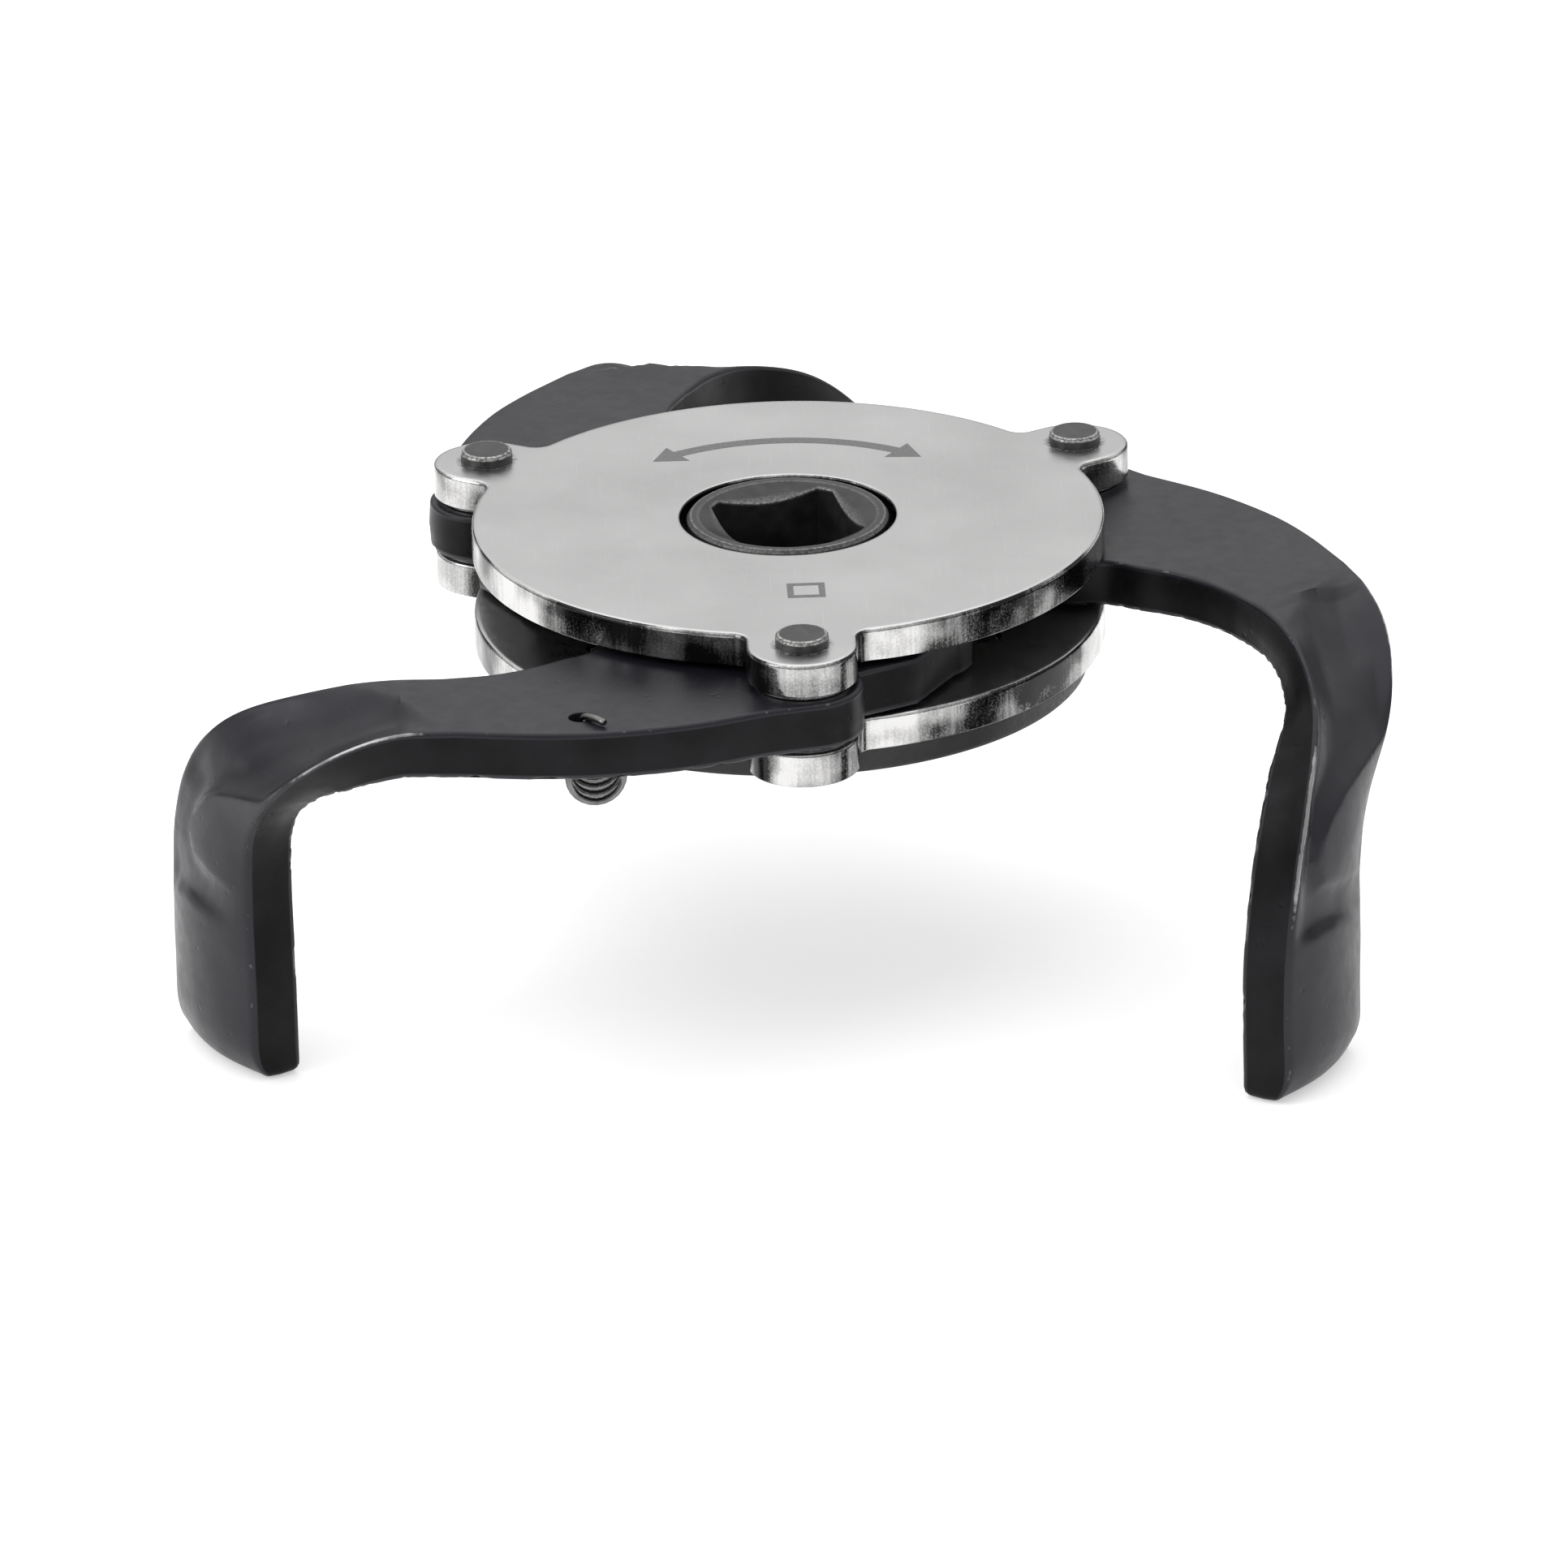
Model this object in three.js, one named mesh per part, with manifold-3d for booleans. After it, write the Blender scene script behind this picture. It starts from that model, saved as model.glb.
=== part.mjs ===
// Three-jaw oil filter wrench, in millimetres, +Z up.
// The origin is the centre of the base disc's underside. Pivot 1 lies on -Y.
// Turning the square drive turns the pinion, and the pinion swings all three arms together.
import * as THREE from 'three';
import { mergeVertices } from 'three/addons/utils/BufferGeometryUtils.js';
import Module from 'manifold-3d';

const wasm = await Module();
wasm.setup();

// ---------------------------------------------------------------- driving dimensions
const DRIVE_SQUARE = 12.9;          // across flats of the 1/2-inch female square
const PLATE_RADIUS = 32;
const PIVOT_CIRCLE = 34.8;          // radius on which the three rivets stand
const EAR_RADIUS = 5.5;
const EAR_FILLET = 1.8;
const HUB_RADIUS = 10.24;
const HUB_HOLE_RADIUS = 10.9;
const HUB_CHAMFER = 0.35;
const HUB_RING = 1.15;              // flat ring round the cone
const CONE_DEPTH = 1.25;            // how far the cone drops to the middle of the square's sides
const SQUARE_CORNER_RADIUS = 8.3;   // the square's corners are cut off round
const SQUARE_TURN = THREE.MathUtils.degToRad(15.75); // how the square stands at rest
const DISC_RADIUS = 30.3;
const GAP = 0.3;                    // running clearance between neighbours
const CUT_PAST = 1;                 // how far a cutting tool reaches past the face that it leaves
const SMALL_TURNED_SIDES = 20;      // facets round a rivet, sleeve or washer
const LARGE_TURNED_SIDES = 60;      // facets round the base disc or the hub
const DISC_CHAMFER = 0.5;
const ARM_COUNT = 3;

// heights of the stack
const DISC_TOP = 3.1;
const LOWER_TOP = 6.6;
const UPPER_BOTTOM = 12.6;
const UPPER_TOP = 16;
const ARM_BOTTOM = 7.1;
const ARM_TOP = 12;
const HUB_BOTTOM = 3.4;
const HUB_TOP = 16.1;

// rivets and what they hold
const RIVET_HEAD_RADIUS = 2.65;
const RIVET_HEAD_TOP = 17.3;
const RIVET_TAIL_BOTTOM = 2.2;
const RIVET_CHAMFER = 0.25;
const RIVET_SHANK_RADIUS = 2.0;
const RIVET_HOLE_RADIUS = 2.3;
const SLEEVE_INNER_RADIUS = 2.3;
const SLEEVE_OUTER_RADIUS = 3.2;
const ARM_BORE_RADIUS = 3.5;
const WASHER_OUTER_RADIUS = 4.7;
const WASHER_CLEARANCE = 0.05;      // axial play left on each side of an arm

// gear pair: centre distance = module * (18 + 30) / 2 = 34.8
const GEAR_MODULE = 1.45;
const PINION_TEETH = 18;
const SECTOR_TEETH = 30;            // teeth that a whole wheel would have
const PRESSURE_ANGLE = THREE.MathUtils.degToRad(20);
const TOOTH_ADDENDUM = 0.95;
const TOOTH_DEDENDUM = 1.3;
const BACKLASH = 0.3;
const SECTOR_FIRST_TOOTH = -4;      // teeth counted from the line between pivot and centre
const SECTOR_LAST_TOOTH = 3;

// jaw and strap
const ARM_THICKNESS = ARM_TOP - ARM_BOTTOM;
const JAW_THICKNESS = 5.2;
const PIVOT_END_RADIUS = 6.1;
const JAW_CROWN = 2.3;
const SECTION_CORNER = 0.5;
const BACK_LAND = 0.04;             // part of the width that each back corner takes
const CROWN_PROFILE = [             // [part of the width, part of the crown's height]
  [0.07, 0.25],
  [0.25, 0.72],
  [0.5, 1],
  [0.75, 0.72],
  [0.93, 0.25],
];
const JAW_BOTTOM = -30.7;

// return spring, hooked into arm 1
const SPRING_RADIUS = 3.1;
const SPRING_WALL = 0.75;
const SPRING_HEIGHT = 3.8;
const SPRING_X = -20.6;
const SPRING_FRONT_Y = -38.8;
const SPRING_BACK_Y = -27.3;
const SPRING_HOLE = new THREE.Vector2(-22, -6.9);      // in arm 1, from its pivot
const SPRING_HOLE_RADIUS = 1.2;
const SPRING_ANCHOR = new THREE.Vector2(-19.6, -21.4); // hole in the bottom plate
const SPRING_SLOT_WIDTH = 2.6;

// small rivets that hold the base disc to the bottom plate
const DISC_RIVET_CIRCLE = 22;
const DISC_RIVET_RADIUS = 1.5;
const DISC_RIVET_HEAD_RADIUS = 2.8;
const DISC_RIVET_HEAD_HEIGHT = 1.1;
const DISC_RIVET_TOP = 6.3;

// ---------------------------------------------------------------- materials
const finishes = {
  nickel: { color: 0xc9c8c5, roughness: 0.32, metalness: 1 },
  blackSteel: { color: 0x3a3a3d, roughness: 0.48, metalness: 0.75 },
  phosphate: { color: 0x2f2f33, roughness: 0.55, metalness: 0.7 },
  blackBase: { color: 0x1b1b1e, roughness: 0.6, metalness: 0.1 },
  brightSteel: { color: 0xb9bbbd, roughness: 0.3, metalness: 1 },
};

const wrench = new THREE.Group();

function addPart(parent, name, geometry, finish) {
  const mesh = new THREE.Mesh(geometry, new THREE.MeshStandardMaterial(finishes[finish]));
  mesh.name = name;
  parent.add(mesh);
  return mesh;
}

// ---------------------------------------------------------------- solids
function toSolid(geometry) {
  const bare = geometry.clone();
  for (const name of Object.keys(bare.attributes)) {
    if (name !== 'position') bare.deleteAttribute(name);
  }
  const merged = mergeVertices(bare, 1e-4);
  return new wasm.Manifold(new wasm.Mesh({
    numProp: 3,
    vertProperties: new Float32Array(merged.attributes.position.array),
    triVerts: new Uint32Array(merged.index.array),
  }));
}

function toGeometry(solid) {
  const mesh = solid.getMesh();
  const indexed = new THREE.BufferGeometry();
  indexed.setAttribute('position', new THREE.BufferAttribute(mesh.vertProperties, 3));
  indexed.setIndex(new THREE.BufferAttribute(mesh.triVerts, 1));
  const flat = indexed.toNonIndexed();
  flat.computeVertexNormals();
  return flat;
}

function extrude(shape, bottom, top) {
  const geometry = new THREE.ExtrudeGeometry(shape, { depth: top - bottom, bevelEnabled: false, steps: 1 });
  return geometry.translate(0, 0, bottom);
}

function cylinder(x, y, radius, bottom, top) {
  return extrude(new THREE.Shape(arc(x, y, radius, 0, 2 * Math.PI).slice(0, -1)), bottom, top);
}

// A turned piece: profile points are [radius, height], from the axis round to the axis.
function turn(profile, segments) {
  const points = profile.map(([radius, height]) => new THREE.Vector2(radius, height));
  return new THREE.LatheGeometry(points, segments).rotateX(Math.PI / 2);
}

// ---------------------------------------------------------------- outlines
const CHORD_ERROR = 0.045;

function arc(x, y, radius, from, to) {
  const step = 2 * Math.acos(1 - CHORD_ERROR / radius);
  const count = Math.max(2, Math.ceil(Math.abs(to - from) / step));
  const points = [];
  for (let i = 0; i <= count; i += 1) {
    const angle = from + ((to - from) * i) / count;
    points.push(new THREE.Vector2(x + radius * Math.cos(angle), y + radius * Math.sin(angle)));
  }
  return points;
}

function polar(radius, angle) {
  return new THREE.Vector2(radius * Math.cos(angle), radius * Math.sin(angle));
}

const armAngle = (index) => (index * 2 * Math.PI) / ARM_COUNT;
const earAngle = (index) => armAngle(index) - Math.PI / 2;

// The plates share one outline: a round rim with three ears, each blended in by two fillets.
function plateOutline() {
  const filletReach = PLATE_RADIUS + EAR_FILLET;
  const filletAngle = Math.asin((EAR_RADIUS + EAR_FILLET) / filletReach);
  const points = [];
  for (let i = 0; i < ARM_COUNT; i += 1) {
    const axis = earAngle(i);
    const before = polar(filletReach, axis - filletAngle);
    const after = polar(filletReach, axis + filletAngle);
    const ear = polar(PIVOT_CIRCLE, axis);
    const right = Math.PI / 2;
    points.push(...arc(before.x, before.y, EAR_FILLET, axis - filletAngle + Math.PI, axis + right));
    points.push(...arc(ear.x, ear.y, EAR_RADIUS, axis - right, axis + right));
    points.push(...arc(after.x, after.y, EAR_FILLET, axis - right, axis + filletAngle - Math.PI));
    const nextEar = axis + 2 * Math.PI / ARM_COUNT;
    const rim = arc(0, 0, PLATE_RADIUS, axis + filletAngle, nextEar - filletAngle);
    points.push(...rim.slice(1, -1));
  }
  return points;
}

function hole(x, y, radius) {
  return new THREE.Path(arc(x, y, radius, 0, -2 * Math.PI).slice(0, -1));
}

function plateShape() {
  const shape = new THREE.Shape(plateOutline());
  shape.holes.push(hole(0, 0, HUB_HOLE_RADIUS));
  for (let i = 0; i < ARM_COUNT; i += 1) {
    const rivet = polar(PIVOT_CIRCLE, earAngle(i));
    shape.holes.push(hole(rivet.x, rivet.y, RIVET_HOLE_RADIUS));
  }
  return shape;
}

// ---------------------------------------------------------------- gear teeth
const involute = (angle) => Math.tan(angle) - angle;

// One tooth as points [radius, angle] from root to root, centred on angle 0.
function toothPoints(teeth) {
  const pitch = (GEAR_MODULE * teeth) / 2;
  const base = pitch * Math.cos(PRESSURE_ANGLE);
  const root = pitch - TOOTH_DEDENDUM * GEAR_MODULE;
  const tip = pitch + TOOTH_ADDENDUM * GEAR_MODULE;
  const halfAtPitch = Math.PI / (2 * teeth) - BACKLASH / (4 * pitch);
  const halfAngle = (radius) => {
    const lean = involute(Math.acos(Math.min(1, base / radius)));
    return halfAtPitch + involute(PRESSURE_ANGLE) - lean;
  };
  const flankSteps = 4;
  const flankStart = Math.max(base, root);
  const side = [[root, halfAngle(flankStart)]];
  for (let i = 0; i <= flankSteps; i += 1) {
    const radius = flankStart + ((tip - flankStart) * i) / flankSteps;
    side.push([radius, halfAngle(radius)]);
  }
  const rising = side.map(([radius, angle]) => [radius, -angle]);
  return [...rising, ...side.reverse()];
}

function pinionOutline() {
  const points = [];
  for (let i = 0; i < PINION_TEETH; i += 1) {
    const centre = (2 * Math.PI * (i + 0.5)) / PINION_TEETH - Math.PI / 2;
    for (const [radius, angle] of toothPoints(PINION_TEETH)) points.push(polar(radius, centre + angle));
  }
  return points;
}

// ---------------------------------------------------------------- frame pieces
function makeTopPlate() {
  return extrude(plateShape(), UPPER_BOTTOM, UPPER_TOP);
}

const discRivetAngle = (index) => earAngle(index) + Math.PI / ARM_COUNT;

function makeBottomPlate() {
  const shape = plateShape();
  shape.holes.push(hole(SPRING_ANCHOR.x, SPRING_ANCHOR.y, SPRING_HOLE_RADIUS));
  for (let i = 0; i < ARM_COUNT; i += 1) {
    const spot = polar(DISC_RIVET_CIRCLE, discRivetAngle(i));
    shape.holes.push(hole(spot.x, spot.y, DISC_RIVET_RADIUS + GAP));
  }
  return extrude(shape, DISC_TOP, LOWER_TOP);
}

function makeBaseDisc() {
  const profile = [
    [0, 0],
    [DISC_RADIUS - DISC_CHAMFER, 0],
    [DISC_RADIUS, DISC_CHAMFER],
    [DISC_RADIUS, DISC_TOP],
    [0, DISC_TOP],
  ];
  let solid = toSolid(turn(profile, LARGE_TURNED_SIDES));
  const recess = DISC_RIVET_HEAD_HEIGHT + 2 * GAP;
  for (let i = 0; i < ARM_COUNT; i += 1) {
    const spot = polar(DISC_RIVET_CIRCLE, discRivetAngle(i));
    const shank = cylinder(spot.x, spot.y, DISC_RIVET_RADIUS + GAP, -CUT_PAST, DISC_TOP + CUT_PAST);
    const head = cylinder(spot.x, spot.y, DISC_RIVET_HEAD_RADIUS + GAP, -CUT_PAST, recess);
    solid = solid.subtract(toSolid(shank)).subtract(toSolid(head));
  }
  const slot = new THREE.BoxGeometry(SPRING_SLOT_WIDTH, DISC_RADIUS, 2 * (DISC_TOP + CUT_PAST));
  slot.translate(SPRING_ANCHOR.x, SPRING_ANCHOR.y + SPRING_SLOT_WIDTH / 2 - DISC_RADIUS / 2, DISC_TOP / 2);
  return toGeometry(solid.subtract(toSolid(slot)));
}

function makeDiscRivet() {
  return turn([
    [0, GAP],
    [DISC_RIVET_HEAD_RADIUS, GAP],
    [DISC_RIVET_HEAD_RADIUS, GAP + DISC_RIVET_HEAD_HEIGHT],
    [DISC_RIVET_RADIUS, GAP + DISC_RIVET_HEAD_HEIGHT],
    [DISC_RIVET_RADIUS, DISC_RIVET_TOP],
    [0, DISC_RIVET_TOP],
  ], SMALL_TURNED_SIDES);
}

function makePivotRivet() {
  const head = RIVET_HEAD_RADIUS;
  return turn([
    [0, RIVET_TAIL_BOTTOM],
    [head - RIVET_CHAMFER, RIVET_TAIL_BOTTOM],
    [head, RIVET_TAIL_BOTTOM + RIVET_CHAMFER],
    [head, DISC_TOP],
    [RIVET_SHANK_RADIUS, DISC_TOP],
    [RIVET_SHANK_RADIUS, UPPER_TOP],
    [head, UPPER_TOP],
    [head, RIVET_HEAD_TOP - RIVET_CHAMFER],
    [head - RIVET_CHAMFER, RIVET_HEAD_TOP],
    [0, RIVET_HEAD_TOP],
  ], SMALL_TURNED_SIDES);
}

function ring(inner, outer, bottom, top) {
  const profile = [[inner, bottom], [outer, bottom], [outer, top], [inner, top], [inner, bottom]];
  return turn(profile, SMALL_TURNED_SIDES);
}

// ---------------------------------------------------------------- drive hub
function makeDriveHub() {
  const coneTop = HUB_RADIUS - HUB_RING;
  const coneFloor = HUB_TOP - CONE_DEPTH;
  const body = toSolid(turn([
    [0, HUB_BOTTOM],
    [HUB_RADIUS, HUB_BOTTOM],
    [HUB_RADIUS, HUB_TOP - HUB_CHAMFER],
    [HUB_RADIUS - HUB_CHAMFER, HUB_TOP],
    [coneTop, HUB_TOP],
    [DRIVE_SQUARE / 2, coneFloor],
    [0, coneFloor],
  ], LARGE_TURNED_SIDES));
  const pinion = toSolid(extrude(new THREE.Shape(pinionOutline()), ARM_BOTTOM, ARM_TOP));
  const square = toSolid(new THREE.BoxGeometry(DRIVE_SQUARE, DRIVE_SQUARE, 2 * UPPER_TOP).rotateZ(SQUARE_TURN));
  const cornerCut = toSolid(cylinder(0, 0, SQUARE_CORNER_RADIUS, 0, UPPER_TOP));
  return toGeometry(body.add(pinion).subtract(square.intersect(cornerCut)));
}

// ---------------------------------------------------------------- arms
// Everything below is measured from the pivot of arm 1.
// The strap leaves the pivot towards -X, then bends down into the jaw.
const outerRail = new THREE.CatmullRomCurve3([
  new THREE.Vector3(-34.4, -9.9, ARM_TOP),
  new THREE.Vector3(-40.2, -8.8, 11.5),
  new THREE.Vector3(-45, -7.6, 9.6),
  new THREE.Vector3(-49.2, -5.6, 6.5),
  new THREE.Vector3(-52.5, -2.8, 2.6),
  new THREE.Vector3(-54.9, 1.5, -3.4),
  new THREE.Vector3(-55.3, 2.85, -9),
  new THREE.Vector3(-55.3, 2.85, -19),
  new THREE.Vector3(-55.3, 2.85, JAW_BOTTOM),
], false, 'centripetal');

const innerRail = new THREE.CatmullRomCurve3([
  new THREE.Vector3(-35.2, 4.4, ARM_TOP),
  new THREE.Vector3(-41.5, 4.6, 11.9),
  new THREE.Vector3(-48, 5.6, 10.8),
  new THREE.Vector3(-54.7, 8, 8.2),
  new THREE.Vector3(-58.5, 10.5, 5),
  new THREE.Vector3(-61, 13, 0.8),
  new THREE.Vector3(-62.7, 15.5, -6.2),
  new THREE.Vector3(-63.2, 17, -16),
  new THREE.Vector3(-63.2, 17, JAW_BOTTOM),
], false, 'centripetal');

const BEND_STATIONS = 26;
const CROWN_START = 0.3;            // parts of the way along at which the crown begins and is full
const CROWN_FULL = 0.75;

// A section of the strap or jaw: its corners, with a crown on the outer side.
function armSection(along) {
  const outer = outerRail.getPoint(along);
  const inner = innerRail.getPoint(along);
  const travel = outerRail.getTangent(along).add(innerRail.getTangent(along));
  const across = new THREE.Vector3().subVectors(inner, outer);
  const depth = new THREE.Vector3().crossVectors(travel, across).normalize();
  const jawShare = THREE.MathUtils.smoothstep(along, CROWN_START, CROWN_FULL);
  const rise = jawShare * JAW_CROWN;
  const thick = THREE.MathUtils.lerp(ARM_THICKNESS, JAW_THICKNESS, jawShare);
  const spots = [
    [0, SECTION_CORNER],
    ...CROWN_PROFILE.map(([share, height]) => [share, -height * rise]),
    [1, SECTION_CORNER],
    [1, thick - SECTION_CORNER],
    [1 - BACK_LAND, thick],
    [BACK_LAND, thick],
    [0, thick - SECTION_CORNER],
  ];
  return spots.map(([share, deep]) => outer.clone()
    .addScaledVector(across, share)
    .addScaledVector(depth, deep));
}

// Joins a row of closed sections into one solid with flat ends.
function loft(sections) {
  const count = sections[0].length;
  const points = sections.flat();
  const triangles = [];
  for (let i = 0; i < sections.length - 1; i += 1) {
    for (let j = 0; j < count; j += 1) {
      const a = i * count + j;
      const b = i * count + ((j + 1) % count);
      triangles.push([a, b, b + count], [a, b + count, a + count]);
    }
  }
  const last = (sections.length - 1) * count;
  for (let j = 1; j < count - 1; j += 1) {
    triangles.push([0, j + 1, j], [last, last + j, last + j + 1]);
  }
  const geometry = new THREE.BufferGeometry().setFromPoints(points);
  geometry.setIndex(triangles.flat());
  return geometry;
}

function makeBend() {
  const sections = [];
  for (let i = 0; i <= BEND_STATIONS; i += 1) sections.push(armSection(i / BEND_STATIONS));
  return toSolid(loft(sections));
}

// Plan of the flat end: pivot boss, toothed sector and strap.
function strapOutline() {
  const points = [];
  for (let tooth = SECTOR_FIRST_TOOTH; tooth <= SECTOR_LAST_TOOTH; tooth += 1) {
    const centre = Math.PI / 2 + (2 * Math.PI * tooth) / SECTOR_TEETH;
    for (const [radius, angle] of toothPoints(SECTOR_TEETH)) points.push(polar(radius, centre + angle));
  }
  const shoulder = new THREE.SplineCurve([
    new THREE.Vector2(-15.6, 16.2),
    new THREE.Vector2(-18.8, 12.9),
    new THREE.Vector2(-20.8, 10),
    new THREE.Vector2(-23.9, 8.2),
    new THREE.Vector2(-26.8, 6.4),
    new THREE.Vector2(-30.5, 5),
    new THREE.Vector2(-37.5, 4.4),
  ]);
  const outerEdge = new THREE.SplineCurve([
    new THREE.Vector2(-37.5, -9.3),
    new THREE.Vector2(-32, -10.3),
    new THREE.Vector2(-26.5, -11.1),
    new THREE.Vector2(-20.3, -11.3),
    new THREE.Vector2(-11.4, -9.9),
    new THREE.Vector2(-3, -6.9),
  ]);
  points.push(...shoulder.getPoints(18));
  points.push(...outerEdge.getPoints(14));
  points.push(...arc(0, 0, PIVOT_END_RADIUS, -1.35, 0.35));
  points.push(new THREE.Vector2(11.5, 5.2));
  return points;
}

function makeArm(hasSpringHole) {
  const shape = new THREE.Shape(strapOutline());
  let solid = toSolid(extrude(shape, ARM_BOTTOM, ARM_TOP)).add(makeBend());
  solid = solid.subtract(toSolid(cylinder(0, 0, ARM_BORE_RADIUS, 0, UPPER_TOP)));
  if (hasSpringHole) {
    const at = SPRING_HOLE;
    solid = solid.subtract(toSolid(cylinder(at.x, at.y, SPRING_HOLE_RADIUS, 0, UPPER_TOP)));
  }
  return toGeometry(solid);
}

// ---------------------------------------------------------------- return spring
function makeSpring() {
  const length = SPRING_BACK_Y - SPRING_FRONT_Y;
  const tube = ring(SPRING_RADIUS - SPRING_WALL, SPRING_RADIUS, 0, length);
  return tube.rotateX(-Math.PI / 2).translate(SPRING_X, SPRING_FRONT_Y, SPRING_HEIGHT);
}

// ---------------------------------------------------------------- assembly
addPart(wrench, 'top_plate', makeTopPlate(), 'nickel');
addPart(wrench, 'bottom_plate', makeBottomPlate(), 'nickel');
addPart(wrench, 'base_disc', makeBaseDisc(), 'blackBase');
addPart(wrench, 'drive_hub', makeDriveHub(), 'blackSteel');
addPart(wrench, 'return_spring', makeSpring(), 'brightSteel');

for (let i = 0; i < ARM_COUNT; i += 1) {
  const label = i + 1;
  const station = new THREE.Group();
  station.rotation.z = armAngle(i);
  wrench.add(station);

  const pivot = new THREE.Group();
  pivot.position.set(0, -PIVOT_CIRCLE, 0);
  station.add(pivot);

  addPart(pivot, `arm_${label}`, makeArm(i === 0), 'phosphate');
  addPart(pivot, `pivot_rivet_${label}`, makePivotRivet(), 'blackSteel');
  const sleeve = ring(SLEEVE_INNER_RADIUS, SLEEVE_OUTER_RADIUS, LOWER_TOP, UPPER_BOTTOM);
  addPart(pivot, `pivot_sleeve_${label}`, sleeve, 'brightSteel');
  const washer = (bottom, top) => ring(ARM_BORE_RADIUS, WASHER_OUTER_RADIUS, bottom, top);
  addPart(pivot, `upper_washer_${label}`, washer(ARM_TOP + WASHER_CLEARANCE, UPPER_BOTTOM), 'brightSteel');
  addPart(pivot, `lower_washer_${label}`, washer(LOWER_TOP, ARM_BOTTOM - WASHER_CLEARANCE), 'brightSteel');

  const discRivet = addPart(wrench, `disc_rivet_${label}`, makeDiscRivet(), 'blackSteel');
  const spot = polar(DISC_RIVET_CIRCLE, discRivetAngle(i));
  discRivet.position.set(spot.x, spot.y, 0);
}

export default wrench;
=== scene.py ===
# %% [markdown]
# # A three-jaw oil filter wrench
# This wrench sits on top of a spin-on oil filter. A half-inch square drive turns the hub
# in the middle. A pinion on the hub swings three bent arms together until their jaws bite
# on the filter. Two nickel-plated plates hold the stack, three black rivets are the pivots,
# and one light spring keeps the jaws closed.
#
# The measured model is loaded first. It is never moved: it gives every size and place, and
# each piece made here takes the place of one of its nodes.

# %% Load the measured model
from math import acos, asin, atan2, cos, exp, pi, radians, sin, sqrt, tan

import bmesh
import bpy
from mathutils import Matrix, Vector, noise


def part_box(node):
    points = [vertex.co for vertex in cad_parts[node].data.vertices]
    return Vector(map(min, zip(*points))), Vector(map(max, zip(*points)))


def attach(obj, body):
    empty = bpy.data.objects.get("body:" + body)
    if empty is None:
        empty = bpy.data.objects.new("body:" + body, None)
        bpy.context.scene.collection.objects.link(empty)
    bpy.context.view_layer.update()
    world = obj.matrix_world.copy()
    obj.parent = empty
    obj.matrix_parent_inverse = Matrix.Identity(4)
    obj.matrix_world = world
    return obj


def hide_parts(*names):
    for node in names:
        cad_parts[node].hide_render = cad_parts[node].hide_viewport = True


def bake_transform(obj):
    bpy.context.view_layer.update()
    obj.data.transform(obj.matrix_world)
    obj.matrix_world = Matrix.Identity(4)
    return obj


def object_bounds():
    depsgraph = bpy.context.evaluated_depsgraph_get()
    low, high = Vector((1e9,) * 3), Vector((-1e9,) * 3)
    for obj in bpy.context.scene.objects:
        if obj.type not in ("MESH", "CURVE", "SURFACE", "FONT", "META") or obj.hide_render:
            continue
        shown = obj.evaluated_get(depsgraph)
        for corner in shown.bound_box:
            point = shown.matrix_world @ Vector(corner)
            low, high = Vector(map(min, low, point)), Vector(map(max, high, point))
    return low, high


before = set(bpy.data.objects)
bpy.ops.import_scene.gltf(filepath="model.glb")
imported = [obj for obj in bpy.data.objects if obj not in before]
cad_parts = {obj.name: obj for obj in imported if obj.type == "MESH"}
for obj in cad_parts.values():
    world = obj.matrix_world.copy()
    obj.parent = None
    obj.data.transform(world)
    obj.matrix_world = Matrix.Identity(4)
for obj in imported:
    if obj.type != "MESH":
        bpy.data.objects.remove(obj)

cad_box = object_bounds()

# %% [markdown]
# ## Working in millimetres
# A maker's drawing of a wrench is in millimetres, and Blender's frame is in metres. All
# outlines below are in millimetres, and a mesh is scaled once, when it becomes a piece.

# %% Millimetres and boxes
MM = 0.001


def box_mm(node):
    low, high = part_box(node)
    return low / MM, high / MM


low, high = (Vector(corner) / MM for corner in cad_box)
print("whole wrench, mm:", [round(side, 1) for side in high - low])

# %% [markdown]
# ## Where the camera stands
# The wrench is seen from the front and a little above, through a long lens, so that the
# near jaws are barely larger than the far one. The camera is placed by what can be
# measured on a tripod: what it aims at, how far away it is, its two angles and a slight
# roll. Building it from those is easier to correct than a bare position.

# %% Camera
AIM = Vector((-1.27, -10.645, -9.057)) * MM
CAMERA_DISTANCE = 1.1509
CAMERA_ELEVATION = radians(23.086)
CAMERA_AZIMUTH = radians(1.85)
CAMERA_ROLL = radians(1.14)
LENS_MM = 261.5
SENSOR_MM = 36.0
FARTHEST_SEEN = 50

flat = cos(CAMERA_ELEVATION)
forward = Vector((flat * sin(CAMERA_AZIMUTH), flat * cos(CAMERA_AZIMUTH), -sin(CAMERA_ELEVATION)))
level = Vector((cos(CAMERA_AZIMUTH), -sin(CAMERA_AZIMUTH), 0))
upright = level.cross(forward)
right = cos(CAMERA_ROLL) * level - sin(CAMERA_ROLL) * upright
up = right.cross(forward)

camera_data = bpy.data.cameras.new("studio_camera")
camera_data.lens = LENS_MM
camera_data.sensor_width = SENSOR_MM
camera_data.clip_end = FARTHEST_SEEN
camera = bpy.data.objects.new("studio_camera", camera_data)
bpy.context.scene.collection.objects.link(camera)
turn = Matrix((right, up, -forward)).transposed().to_4x4()
camera.matrix_world = Matrix.Translation(AIM - forward * CAMERA_DISTANCE) @ turn
bpy.context.scene.camera = camera
print("camera at, m:", [round(value, 4) for value in camera.matrix_world.translation])

# %% [markdown]
# ## Heights and centres
# The plates, arms, hub and rivets are a stack. Reading every level from the measured
# nodes means that nothing here can drift from them.

# %% Stack heights
STRAP_THICKNESS = 4.9

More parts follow.
